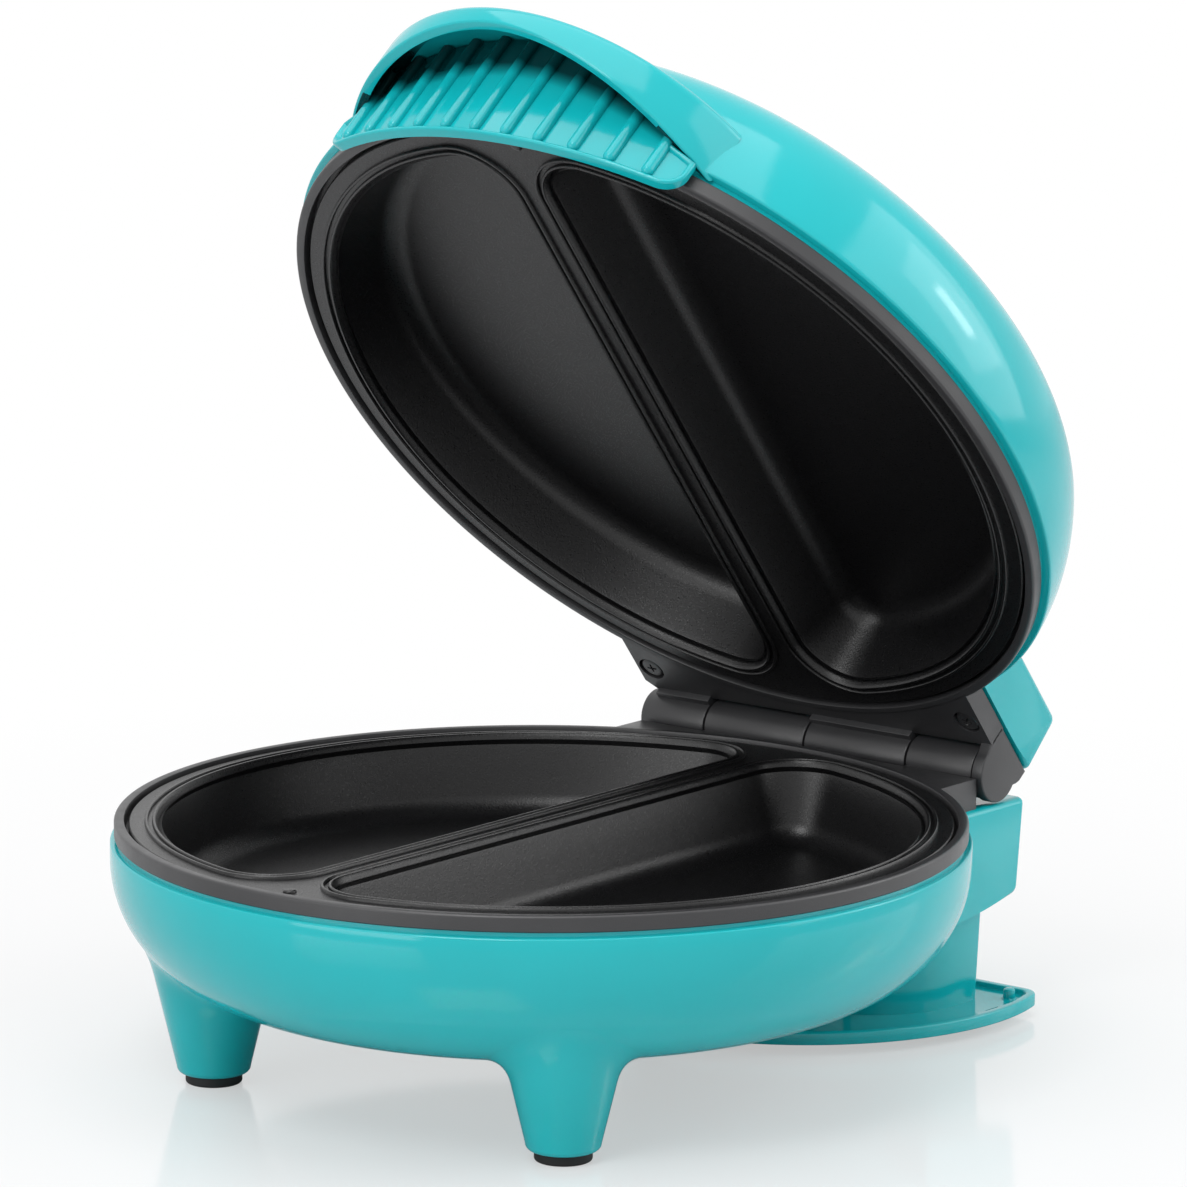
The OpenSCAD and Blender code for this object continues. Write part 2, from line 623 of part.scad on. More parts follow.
module wrap_plate_screws() {
    color(steel) at_base() at_column_bosses() translate([0, 0, foot_h]) screw(small_screw_r, 2.9, 1.6, 12);
}
module cord_bush() {
    color(rubber_black) at_base() translate([0, 0, bush_z]) difference() {
        union() {
            y_rod(column_rear - wall, column_rear, cord_bore_r + 1.6);
            y_rod(column_rear, column_rear + 2, cord_bore_r + 3);
            y_rod(column_rear - wall - 2, column_rear - wall, cord_bore_r + 3);
        }
        y_rod(column_rear - 9, column_rear + 9, cord_bore_r);
    }
}

module lower_frame() {
    color(ring_black) at_base() difference() {
        union() {
            turned_over() frame_ring();
            difference() {
                translate([-hinge_half + 1.2, back_y, block_top])
                    cube([2 * hinge_half - 2.4, flange_rear - 0.2 - back_y, base_flange_z - block_top]);
                translate([0, 0, block_top - over]) cylinder(r = skirt_r - 0.5, h = 20);
            }
            for (k = [0, 2]) translate([0, hinge_y, hinge_z]) {
                x_rod(crease[k] + knuckle_gap / 2, crease[k + 1] - knuckle_gap / 2, knuckle_r);
                translate([crease[k] + knuckle_gap / 2, -knuckle_r - 1.5, -5.5])
                    cube([crease[k + 1] - crease[k] - knuckle_gap, knuckle_r + 1.5, 5.3]);
            }
        }
        translate([0, hinge_y, hinge_z]) x_rod(-hinge_half - 5, hinge_half + 5, pin_r + pin_clear);
    }
}
module hinge_pin() {
    color(steel) at_base() translate([0, hinge_y, hinge_z]) difference() {
        x_rod(0.4 - hinge_half, hinge_half - 1.6, pin_r);
    }
}
module lower_plate() {
    color(coating_black) at_base() turned_over() cooking_plate();
}
module plate_screws() {
    color(steel) at_base() at_posts() translate([0, 0, floor_z + 5])
        screw(screw_r, 3.8, 2.8, post_z - floor_z + 2);
}
module lower_heater() {
    color(steel) at_base() turned_over() heater();
}
module lower_heater_clips() {
    color(steel) at_base() turned_over() heater_clips();
}
module lower_reflector() {
    color(steel) at_base() turned_over() reflector();
}
module thermostat() {
    color(hinge_grey) at_base() turned_over() translate([fuse_x, 0, cast_d]) {
        cylinder(r = 8, h = 3.4);
        translate([0, 0, 3.4]) cylinder(r = 6.6, h = 3);
        for (x = [-3.4, 2.4]) translate([x, -11, 4.6]) cube([1, 22, 1]);
    }
}
module lower_thermal_fuse() {
    color(steel) at_base() turned_over() thermal_fuse(-fuse_x);
}
module terminal_block() {
    color(coating_black) at_base() translate([0, column_rear - 5, block_floor]) difference() {
        translate([-17, 0, 0]) cube([34, 10, 12]);
        for (x = [-11, 0, 11]) translate([x, 5, 6]) cylinder(r = 2.6, h = 10);
        for (x = [-11, 0, 11]) translate([x, 0, 3.5]) y_rod(-1, 11, 1.8);
    }
}

/* The lid, drawn closed with its meeting face at height 0 */
module dome_body(t) {
    rotate_extrude() polygon(concat(
        t > 0 ? [[0, -1], [bead_r, -1], [bead_r, band_h + bead_h], [shell_r - t, band_h + bead_h + 0.9]]
            : [[0, rim_d], [shell_r - 0.4, rim_d]],
        [for (p = dome_side(t)) if (p[1] > (t > 0 ? band_h + bead_h + 1 : rim_d + 0.3)) p]));
}
module lid_block() {
    intersection() {
        along_x(-block_x, block_x) polygon(lid_block_side);
        linear_extrude(lid_block_h + 7) block_plan(lid_rear, block_corner);
    }
}
module lid_block_inner() {
    y1 = lid_rear + 0.9 - wall;
    y0 = back_y + 10;
    x1 = block_x - wall - 0.8;
    along_x(-x1, x1) polygon([[y0, flange_t + wall], [y1 - 2, flange_t + wall],
        [y1 - 0.9, flange_t + wall + 2], [y1 - 2.2, lid_block_h - wall - 4],
        [y1 - 5, lid_block_h - wall], [y0, lid_block_h - wall]]);
}
module hood_body(t) {
    translate([0, -hood_y, 0]) rotate_extrude() polygon(hood_side(t));
}
// Everything below the hood's arched edge, lowered by t
module below_arch(t) {
    n = 12;
    w = hood_half + 4;
    along_y(-hood_front - 18, -60) polygon(concat(
        [for (i = [-n:n]) let (x = w * i / n) [x, arch_at(x) - t]], [[w, -20], [-w, -20]]));
}
module lid_shell() {
    color(teal) at_lid() difference() {
        union() {
            difference() {
                union() {
                    dome_body(0);
                    lid_block();
                    difference() {
                        hood_body(0);
                        difference() {
                            hood_body(wall);
                            cylinder(r = dome_r(arch_h, 0), h = 60);
                        }
                        below_arch(0);
                    }
                }
                dome_body(wall);
                lid_block_inner();
            }
            rotate_extrude() polygon([[bead_r, band_h], [bead_out, band_h], [shell_r - 0.4, rim_d],
                [shell_r - 1, band_h + bead_h], [bead_r, band_h + bead_h]]);
            both_sides() translate([flange_screw_x, flange_screw_y, flange_t]) cylinder(r = 4, h = 12);
        }
        translate([-block_x - fit, back_y, -over]) cube([2 * block_x + 2 * fit, 60, flange_t + over]);
        both_sides() translate([flange_screw_x, flange_screw_y, 0])
            cylinder(r = small_screw_r + pin_clear, h = flange_t + 10.5);
        both_sides() translate([grip_peg[0], 0, grip_peg[1]]) y_rod(-grip_r - 4, 16 - grip_r, 2.7);
        both_sides() translate([lens_x, -lens_y, 30]) cylinder(r = lens_r + 0.1, h = 20);
    }
}
// The highest the grip can reach under the hood, at a distance x from the middle
function grip_top(x) = let (r = norm([x, sqrt(pow(grip_out, 2) - pow(x, 2)) - hood_y]))
    hood_top_c[1] + sqrt(pow(hood_top_r - wall, 2) - pow(r - hood_top_c[0], 2)) - 0.5;
module grip_ring(t, h) {
    difference() {
        translate([0, 0, -10]) cylinder(r = grip_r + t, h = h);
        translate([0, 0, -11]) cylinder(r = grip_r, h = h + 2);
        translate([-grip_r - 9, -40, -12]) cube([2 * grip_r + 18, 80 + grip_r, h + 4]);
    }
}
module grip_insert() {
    w = hood_half - 0.8;
    low = 2.1;
    lip = 1.7 - apron_h;
    in = grip_side - 0.8;
    c = [w - 7, 7 - apron_h + low];
    edge = [for (i = [-8:8]) let (x = (w - 7) * i / 8) [x, low * pow(x / w, 2) - apron_h]];
    color(teal) at_lid() {
        intersection() {
            union() {
                grip_ring(grip_t, 45);
                intersection() {
                    grip_ring(grip_t + 0.9, 12);
                    along_y(-hood_front, -60) polygon(concat(edge,
                        [[w - 7, lip + low * 0.75], [0, lip], [7 - w, lip + low * 0.75]]));
                }
                for (k = [-rib_side_count:rib_side_count]) rotate([0, 0, asin(k * rib_pitch / grip_out)])
                    translate([0, -grip_out - 0.1, 0]) {
                        translate([0, 0, 3.4 - apron_h]) cylinder(r = rib_r, h = 30);
                        translate([0, 0, 2.2 - apron_h]) cylinder(r1 = 0.3, r2 = rib_r, h = 1.2);
                    }
            }
            along_y(-hood_front, -60) polygon(concat(edge, arc(c, 7, -72, 0, 5), [[w, arch_at(w) - 0.3]],
                [[in, arch_at(in) - 0.3]], [for (i = [6:-1:-6]) [in * i / 6, grip_top(in * i / 6)]],
                [[-in, arch_at(in) - 0.3], [-w, arch_at(w) - 0.3]], arc([-c[0], c[1]], 7, 180, 252, 5)));
        }
        both_sides() translate([grip_peg[0], 0, grip_peg[1]]) difference() {
            y_rod(-grip_r + 1.6, grip_head_y, 2.5);
            y_rod(1.6 - grip_r, grip_head_y + 1, small_screw_r + pin_clear);
        }
    }
}
module grip_screws() {
    color(steel) at_lid() both_sides() translate([grip_peg[0], grip_head_y, grip_peg[1]]) rotate([90, 0, 0])
        screw(small_screw_r, 3.3, 1.8, 5.5);
}
module arm_side() {
    x_rod(0, arm_t - knuckle_gap / 2, arm_r);
    along_x(0, arm_t - knuckle_gap / 2) polygon([[-knuckle_r - 1.5, 2.2], [knuckle_r, 2.2], [8.2, 4.6],
        [8.2, lid_z - hinge_z + flange_t], [-knuckle_r - 1.5, lid_z - hinge_z + flange_t]]);
}
module upper_frame() {
    z = hinge_z - lid_z;
    color(ring_black) at_lid() difference() {
        union() {
            frame_ring();
            difference() {
                linear_extrude(flange_t) polygon([[-hinge_half, back_y], [hinge_half, back_y],
                    [hinge_half, flange_rear], [corner_cut - hinge_half, flange_rear],
                    [-hinge_half, flange_rear - corner_cut]]);
                translate([0, 0, -over]) cylinder(r = skirt_r - 0.5, h = 20);
            }
            translate([0, hinge_y, z]) {
                for (e = [[-hinge_half, crease[0], corner_cut],
                    [crease[1] + knuckle_gap / 2, crease[2], 0]]) {
                    x_rod(e[0], e[1] - knuckle_gap / 2, knuckle_r);
                    translate([e[0] + e[2], -knuckle_r - 1.5, 0.4])
                        cube([e[1] - e[0] - e[2] - knuckle_gap / 2, knuckle_r + 1.5, 6]);
                }
                translate([hinge_half - arm_t + knuckle_gap / 2, 0, 0]) arm_side();
            }
        }
        translate([0, hinge_y, z]) x_rod(-hinge_half - 5, hinge_half - 1.4, pin_r + pin_clear);
        both_sides() translate([flange_screw_x, flange_screw_y, -over]) {
            cylinder(r = 3.5, h = over + 2);
            cylinder(r = small_screw_r + fit, h = 12);
        }
        at_plate_screws() cylinder(r = small_screw_r + fit, h = 12);
        at_plate_screws() translate([0, 0, plate_seat]) cylinder(r = plate_head_r + fit, h = 12);
    }
}
module at_plate_screws() {
    for (a = [0, 60, 120, 180, 240, 300]) rotate([0, 0, a]) translate([plate_screw_r, 0, 0]) children();
}
module flange_screws() {
    color(steel) at_lid() both_sides() translate([flange_screw_x, flange_screw_y, 2])
        screw(small_screw_r, 3.25, 1.8, 11);
}
module upper_plate() {
    color(coating_black) at_lid() difference() {
        cooking_plate();
        at_plate_screws() translate([0, 0, lip_h + 1]) cylinder(r = small_screw_r + pin_clear, h = 9);
    }
}
module upper_plate_screws() {
    color(steel) at_lid() at_plate_screws() translate([0, 0, plate_seat]) mirror([0, 0, 1])
        screw(small_screw_r, plate_head_r, 1.6, plate_seat - lip_h - 1.2);
}
module upper_heater() {
    color(steel) at_lid() heater();
}
module upper_heater_clips() {
    color(steel) at_lid() heater_clips();
}
module upper_reflector() {
    color(steel) at_lid() reflector();
}
module reflector_screws() {
    color(steel) at_lid() at_posts() translate([0, 0, reflector_d + sheet_t]) mirror([0, 0, 1])
        screw(screw_r, 3.8, 2.2, 6.4);
}
module upper_thermal_fuse() {
    color(steel) at_lid() thermal_fuse(fuse_x);
}
module lens() {
    top = dome_h(norm([lens_x, lens_y]), 0) + 0.3;
    seat = dome_h(norm([lens_x, lens_y]) + lens_r + 1, wall) - 0.02;
    difference() {
        union() {
            cylinder(r = lens_r, h = top - 0.4);
            cylinder(r = lens_r - 0.4, h = top);
            cylinder(r = lens_r + 1, h = seat);
        }
        translate([0, 0, -over]) cylinder(r = lens_r + 2, h = over + seat - 1.2);
        cylinder(r = lens_r - 1, h = top - 1.4);
    }
}
module power_lens() {
    color([0.8, 0.1, 0.08]) at_lid() translate([-lens_x, -lens_y, 0]) lens();
}
module ready_lens() {
    color([0.15, 0.6, 0.25]) at_lid() translate([lens_x, -lens_y, 0]) lens();
}
module indicator_lamps() {
    color([0.9, 0.7, 0.5]) at_lid() both_sides() translate([lens_x, -lens_y, reflector_d + 2.4]) {
        cylinder(r = lens_r - 1.2, h = 4);
        translate([0, 0, 4]) sphere(r = lens_r - 1.2);
    }
}

base_housing();
front_feet();
rear_feet();
cord_wrap_plate();
wrap_plate_screws();
cord_bush();
lower_frame();
hinge_pin();
lower_plate();
plate_screws();
lower_heater();
lower_heater_clips();
lower_reflector();
thermostat();
lower_thermal_fuse();
terminal_block();
lid_shell();
grip_insert();
grip_screws();
upper_frame();
flange_screws();
upper_plate();
upper_plate_screws();
upper_heater();
upper_heater_clips();
upper_reflector();
reflector_screws();
upper_thermal_fuse();
power_lens();
ready_lens();
indicator_lamps();
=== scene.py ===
import json
import math
from types import SimpleNamespace

import bmesh
import bpy
from mathutils import Matrix, Vector


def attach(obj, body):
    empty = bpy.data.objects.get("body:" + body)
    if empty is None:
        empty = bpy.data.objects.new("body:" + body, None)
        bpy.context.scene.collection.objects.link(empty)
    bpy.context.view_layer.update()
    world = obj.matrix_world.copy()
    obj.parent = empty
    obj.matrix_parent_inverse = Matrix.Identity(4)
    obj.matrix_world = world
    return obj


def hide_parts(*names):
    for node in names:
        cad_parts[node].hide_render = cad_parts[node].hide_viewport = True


bl_info = {
    "name": "Omelette maker",
    "version": (1, 0, 0),
    "blender": (4, 5, 0),
    "location": "3D View > Sidebar > Omelette maker",
    "description": "Models the housing, plates, hinge and grip of a two-pocket omelette maker",
    "category": "Object",
}

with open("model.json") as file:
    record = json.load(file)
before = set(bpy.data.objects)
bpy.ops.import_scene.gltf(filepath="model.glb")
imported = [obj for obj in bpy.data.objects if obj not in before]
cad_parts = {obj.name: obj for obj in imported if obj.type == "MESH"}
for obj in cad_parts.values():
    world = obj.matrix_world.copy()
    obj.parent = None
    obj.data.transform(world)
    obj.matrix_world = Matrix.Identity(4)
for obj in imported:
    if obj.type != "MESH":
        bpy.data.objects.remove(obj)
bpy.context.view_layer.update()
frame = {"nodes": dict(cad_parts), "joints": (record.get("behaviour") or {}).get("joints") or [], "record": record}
lid_joint = frame["joints"][0]
pin_y, pin_z = (1000 * value for value in lid_joint["pos_m"][1:])
open_turn = math.radians(lid_joint["range_deg"][0])
X, Y, Z = range(3)


def length(name, description, default):
    return bpy.props.FloatProperty(name=name, description=description, default=default, min=0.0,
                                   precision=5, subtype="DISTANCE", unit="LENGTH")


def colour(name, description, default):
    return bpy.props.FloatVectorProperty(name=name, description=description, default=default,
                                         size=3, min=0.0, max=1.0, subtype="COLOR")


class BodySizes(bpy.types.PropertyGroup):
    ring_radius: length("Ring radius", "Outer radius of the black rings", 0.102)
    lid_radius: length("Lid radius", "Radius of the lid at its lower edge", 0.1037)
    bowl_radius: length("Bowl radius", "Radius of the bowl at its rim", 0.103)
    parting_height: length("Parting height", "Height of the lower ring's face above the table", 0.0632)
    parting_gap: length("Parting gap", "Gap between the closed rings", 0.001)
    band_height: length("Band height", "Visible height of a ring", 0.0039)
    step_height: length("Step height", "Height of the dark step beside a ring", 0.0012)
    wall: length("Wall", "Wall of the shells", 0.0026)
    floor_height: length("Underside height", "Height of the bowl's flat underside", 0.022)
    corner_width: length("Corner width", "Width of the bowl's curved corner", 0.034)
    side_height: length("Side height", "Straight part of the bowl's side", 0.0042)
    leg_radius: length("Leg radius", "Radius of a leg at its foot", 0.0089)
    leg_spread: length("Leg spread", "Distance of a leg from the middle plane", 0.0538)
    leg_forward: length("Leg forward", "Distance of the legs in front of the axis", 0.0575)
    foot_height: length("Foot height", "Thickness of the rubber feet", 0.0025)
    foot_radius: length("Foot radius", "Radius of the rubber feet", 0.0068)


class HingeSizes(bpy.types.PropertyGroup):
    knuckle_radius: length("Knuckle radius", "Radius of the hinge knuckles", 0.0068)
    half_width: length("Half width", "Half width of the hinge over its arms", 0.0537)
    arm_thickness: length("Arm thickness", "Thickness of the end arm", 0.0033)
    flange_thickness: length("Flange thickness", "Thickness of the lid's hinge flange", 0.0058)
    block_half: length("Block half width", "Half width of the rear blocks", 0.054)
    block_rear: length("Block rear", "Distance of the blocks' rear face behind the axis", 0.1238)
    block_corner: length("Block corner", "Radius of the blocks' upright rear corners", 0.0025)
    corner_cut: length("Corner cut", "Cut at the flange's rear left corner", 0.0032)
    screw_radius: length("Screw head radius", "Radius of the flange screws' heads", 0.00325)


class PlateSizes(bpy.types.PropertyGroup):
    plate_radius: length("Plate radius", "Radius of a cooking plate", 0.0985)
    pocket_radius: length("Pocket radius", "Outer radius of the pockets", 0.092)
    divider_half: length("Divider half width", "Half width of the divider between the pockets", 0.0046)
    pocket_corner: length("Pocket corner", "Radius of the pockets' corners", 0.013)
    pocket_depth: length("Pocket depth", "Depth of a pocket", 0.020)
    pocket_lean: length("Pocket lean", "Lean of a pocket's wall", 0.0052)
    pocket_fillet: length("Pocket fillet", "Radius between a pocket's wall and floor", 0.007)
    lip_height: length("Lip height", "Height of the lips round a pocket", 0.0008)
    lip_width: length("Lip width", "Width of a lip", 0.0009)
    plate_wall: length("Plate wall", "Thickness of a plate", 0.0025)


class GripSizes(bpy.types.PropertyGroup):
    hood_half: length("Hood half width", "Half width of the hood where it leaves the lid", 0.0536)
    hood_reach: length("Hood reach", "Reach of the hood from the axis", 0.122)
    hood_height: length("Hood height", "Height of the hood's front edge above the parting", 0.0204)
    arch_middle: length("Arch middle", "Height of the arched edge in the middle", 0.014)
    arch_end: length("Arch end", "Height of the arched edge at its ends", 0.0042)
    rib_radius: length("Rib radius", "Radius of a rib", 0.0015)
    rib_pitch: length("Rib pitch", "Distance between ribs", 0.009)
    lip_drop: length("Lip drop", "How far the grip's lower edge hangs past the ring", 0.0067)
    panel_corner: length("Panel corner", "Radius of the grip panel's lower corners", 0.0058)


class Finishes(bpy.types.PropertyGroup):
    teal: colour("Teal", "Glossy moulded shells", (0.006, 0.435, 0.47))
    ring_black: colour("Ring black", "Satin black rings and hinge", (0.03, 0.03, 0.032))
    coating: colour("Coating", "Non-stick coating", (0.005, 0.005, 0.0055))
    rubber: colour("Rubber", "Feet and cord bush", (0.012, 0.012, 0.012))
    steel: colour("Steel", "Screws and hinge pin", (0.55, 0.55, 0.56))
    sheath: colour("Sheath", "Sheath of the heating elements", (0.32, 0.31, 0.3))
    sheet: colour("Sheet metal", "Reflectors", (0.72, 0.72, 0.73))
    control: colour("Control plastic", "Thermostat and terminals", (0.06, 0.055, 0.05))
    red_lens: colour("Red lens", "Power light", (0.5, 0.02, 0.015))
    green_lens: colour("Green lens", "Ready light", (0.03, 0.3, 0.06))
    lamp_glass: colour("Lamp glass", "Neon lamps", (0.9, 0.75, 0.6))
    table: colour("Table", "The floor of the picture", (0.75, 0.75, 0.76))


# Shapes are drawn in millimetres about the bowl's axis, the lid as if closed, and then set in place.
def sizes(group):
    """The lengths of a property group in millimetres"""
    return SimpleNamespace(**{key: getattr(group, key) * 1000.0 for key in group.__annotations__})


def body():
    return sizes(bpy.context.scene.maker_body)


def hinge():
    return sizes(bpy.context.scene.maker_hinge)


def plate():
    return sizes(bpy.context.scene.maker_plate)


def grip():
    return sizes(bpy.context.scene.maker_grip)


def finishes():
    return bpy.context.scene.maker_finish


def hinge_y():
    """Distance of the hinge pin behind the bowl's axis"""
    pin_behind_ring = 10.15
    return body().ring_radius + pin_behind_ring


def lid_height():
    return body().parting_height + body().parting_gap


def base_place():
    return Matrix.Scale(0.001, 4) @ Matrix.Translation((0, pin_y - hinge_y(), 0))


def lid_place():
    up = Matrix.Translation((0, -hinge_y(), lid_height() - pin_z))
    back = Matrix.Translation((0, pin_y, pin_z))
    return Matrix.Scale(0.001, 4) @ back @ Matrix.Rotation(open_turn, 4, "X") @ up


def arc(centre, radius, start, end, steps):
    turns = [math.radians(start + (end - start) * i / steps) for i in range(steps + 1)]
    return [(centre[0] + radius * math.cos(a), centre[1] + radius * math.sin(a)) for a in turns]


def rounded(corners, steps):
    """An outline through [x, y, radius] corners"""
    points = []
    for i, (x, y, r) in enumerate(corners):
        here = Vector((x, y))
        before = (Vector(corners[i - 1][:2]) - here).normalized()
        after = (Vector(corners[(i + 1) % len(corners)][:2]) - here).normalized()
        half = before.angle(after) / 2
        centre = here + (before + after).normalized() * r / math.sin(half)
        p = here + before * r / math.tan(half) - centre
        q = here + after * r / math.tan(half) - centre
        swing = math.atan2(p.x * q.y - p.y * q.x, p.dot(q))
        first = math.atan2(p.y, p.x)
        points += arc(centre, r, math.degrees(first), math.degrees(first + swing), steps)
    return points


def clear():
    if bpy.context.object is not None and bpy.context.object.mode != "OBJECT":
        bpy.ops.object.mode_set(mode="OBJECT")
    bpy.ops.object.select_all(action="DESELECT")


def hold(piece):
    clear()
    piece.select_set(True)
    bpy.context.view_layer.objects.active = piece


def edit(piece, kind="VERT"):
    hold(piece)
    bpy.ops.object.mode_set(mode="EDIT")
    bpy.ops.mesh.select_mode(type=kind)


def rename(piece, name):
    piece.name = name
    piece.data.name = name


def pick(piece, kind, rule):
    """Selects the parts of a piece in edit mode that the rule holds for"""
    bpy.ops.mesh.select_mode(type=kind)
    bpy.ops.mesh.select_all(action="DESELECT")
    shape = bmesh.from_edit_mesh(piece.data)
    shape.normal_update()
    parts = {"VERT": shape.verts, "EDGE": shape.edges, "FACE": shape.faces}[kind]
    found = [part for part in parts if rule(part)]
    if not found:
        raise RuntimeError(piece.name + ": nothing to select")
    for part in found:
        part.select_set(True)
    shape.select_flush_mode()
    bmesh.update_edit_mesh(piece.data)


def shift(piece, rule):
    """Moves each vertex of the piece to where the rule says, and ends its editing"""
    edit(piece)
    shape = bmesh.from_edit_mesh(piece.data)
    for v in shape.verts:
        v.co = rule(v.co)
    bmesh.update_edit_mesh(piece.data)
    mend(0.0005)
    clear()


def trace(points, closed):
    """Merges the selection to a point and extrudes it from each point to the next"""
    bpy.ops.mesh.merge(type="CENTER")
    bpy.ops.transform.translate(value=points[0])
    here = Vector(points[0])
    for point in list(points[1:]) + ([points[0]] if closed else []):
        bpy.ops.mesh.extrude_vertices_move(TRANSFORM_OT_translate={"value": Vector(point) - here})
        here = Vector(point)


def draw(name, points, closed=False):
    """Draws a line of edges through points and leaves it selected in edit mode"""
    clear()
    bpy.ops.mesh.primitive_plane_add(size=1, location=(0, 0, 0))
    piece = bpy.context.object
    rename(piece, name)
    edit(piece)
    bpy.ops.mesh.select_all(action="SELECT")
    trace(points, closed)
    bpy.ops.mesh.select_all(action="SELECT")
    if closed:
        bpy.ops.mesh.remove_doubles(threshold=0.0005)
    return piece


def mend(gap=0.0008):
    bpy.ops.mesh.select_all(action="SELECT")
    bpy.ops.mesh.remove_doubles(threshold=gap)
    bpy.ops.mesh.normals_make_consistent(inside=False)


def turn(name, section, steps, closed=False):
    """Spins a section of [radius, height] points once round"""
    piece = draw(name, [(r, 0, h) for r, h in section], closed)
    bpy.ops.mesh.spin(steps=steps, angle=math.tau, use_auto_merge=True, center=(0, 0, 0), axis=(0, 0, 1))
    mend()
    clear()
    return piece


def slab(name, points, step):
    """Fills a closed line of points and draws the face out by a step"""
    piece = draw(name, points, True)
    bpy.ops.mesh.edge_face_add()
    bpy.ops.mesh.extrude_region_move(TRANSFORM_OT_translate={"value": step})
    mend()
    clear()
    return piece


def upright(name, outline, low, high):
    """A slab from an outline of [x, y] points, between two heights"""
    return slab(name, [(x, y, low) for x, y in outline], (0, 0, high - low))


def across(name, outline, left, right):
    """A slab from an outline of [y, z] points, from left to right"""
    return slab(name, [(left, y, z) for y, z in outline], (right - left, 0, 0))


def modify(piece, kind, **settings):
    """Adds a modifier and applies it"""
    hold(piece)
    change = piece.modifiers.new("change", kind)
    for key, value in settings.items():
        setattr(change, key, value)
    bpy.ops.object.modifier_apply(modifier=change.name)


def carve(piece, tool, way="DIFFERENCE"):
    """Cuts the tool out of the piece, or adds it, and cleans the seam"""
    modify(piece, "BOOLEAN", operation=way, solver="EXACT", object=tool)
    edit(piece)
    bpy.ops.mesh.select_all(action="SELECT")
    bpy.ops.mesh.remove_doubles(threshold=0.002)
    bpy.ops.mesh.dissolve_degenerate(threshold=0.001)
    clear()
    bpy.data.objects.remove(tool)


def carve_box(piece, centre, size):
    clear()
    bpy.ops.mesh.primitive_cube_add(size=1, location=(0, 0, 0))
    tool = bpy.context.object
    place(tool, Matrix.Translation(centre) @ Matrix.Diagonal((*size, 1)))
    carve(piece, tool)


def carve_round(piece, centre, radius, depth):
    clear()
    bpy.ops.mesh.primitive_cylinder_add(vertices=48, radius=radius, depth=depth, location=(0, 0, 0))
    tool = bpy.context.object
    place(tool, Matrix.Translation(centre))
    carve(piece, tool)


def join(piece, others):
    hold(piece)
    for other in others:
        other.select_set(True)
    bpy.ops.object.join()


def copy(piece, name):
    hold(piece)
    bpy.ops.object.duplicate(linked=False)
    twin = bpy.context.object
    rename(twin, name)
    return twin


def place(piece, where):
    clear()
    piece.matrix_world = where
    hold(piece)
    bpy.ops.object.transform_apply(location=True, rotation=True, scale=True)


def least(part, axis):
    return min(v.co[axis] for v in part.verts)


def most(part, axis):
    return max(v.co[axis] for v in part.verts)


def extent(part, axis):
    return most(part, axis) - least(part, axis)


def sharp(edge, degrees):
    return len(edge.link_faces) == 2 and edge.calc_face_angle(0) > math.radians(degrees)


def soften(piece, width, steps, rule):
    """Bevels the edges that the rule picks"""
    edit(piece, "EDGE")
    pick(piece, "EDGE", rule)
    bpy.ops.mesh.bevel(offset=width, segments=steps, profile=0.5, affect="EDGES", clamp_overlap=True)
    clear()


def soften_rear(block):
    """Rounds a rear block's upright corners"""
    soften(block, hinge().block_corner, 6, lambda e: sharp(e, 20) and least(e, Y) > 110 and extent(e, Z) > 10)


def finish(piece, name, rides, slot, node, smooth=32, look=None):
    """Sets a piece in place, smooths it, gives it a finish if it has none, hangs it on the body that it rides on
    and hides the frame part that it stands for
    """
    rename(piece, name)
    place(piece, base_place() if rides == "base" else lid_place())
    bpy.ops.object.shade_smooth_by_angle(angle=math.radians(smooth))
    if not piece.data.materials:
        piece.data.materials.append(material(look or SLOT_LOOKS[slot]))
    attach(piece, rides)
    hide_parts(node)
    clear()


# Materials
class Nodes:
    """A node tree, built one node at a time"""

    def __init__(self, owner):
        owner.use_nodes = True
        self.nodes = owner.node_tree.nodes
        self.links = owner.node_tree.links

    def feed(self, node, values):
        """Gives a node's inputs their values, or links the sockets that feed them"""
        for key, value in values.items():
            if isinstance(value, bpy.types.NodeSocket):
                self.links.new(value, node.inputs[key])
            else:
                node.inputs[key].default_value = value

    def add(self, kind, values, output, **settings):
        """Adds a node and returns one of its outputs"""
        node = self.nodes.new(kind)
        for key, value in settings.items():
            setattr(node, key, value)
        self.feed(node, values)
        return node.outputs[output]

    def number(self, operation, *values):
        return self.add("ShaderNodeMath", dict(enumerate(values)), "Value", operation=operation)


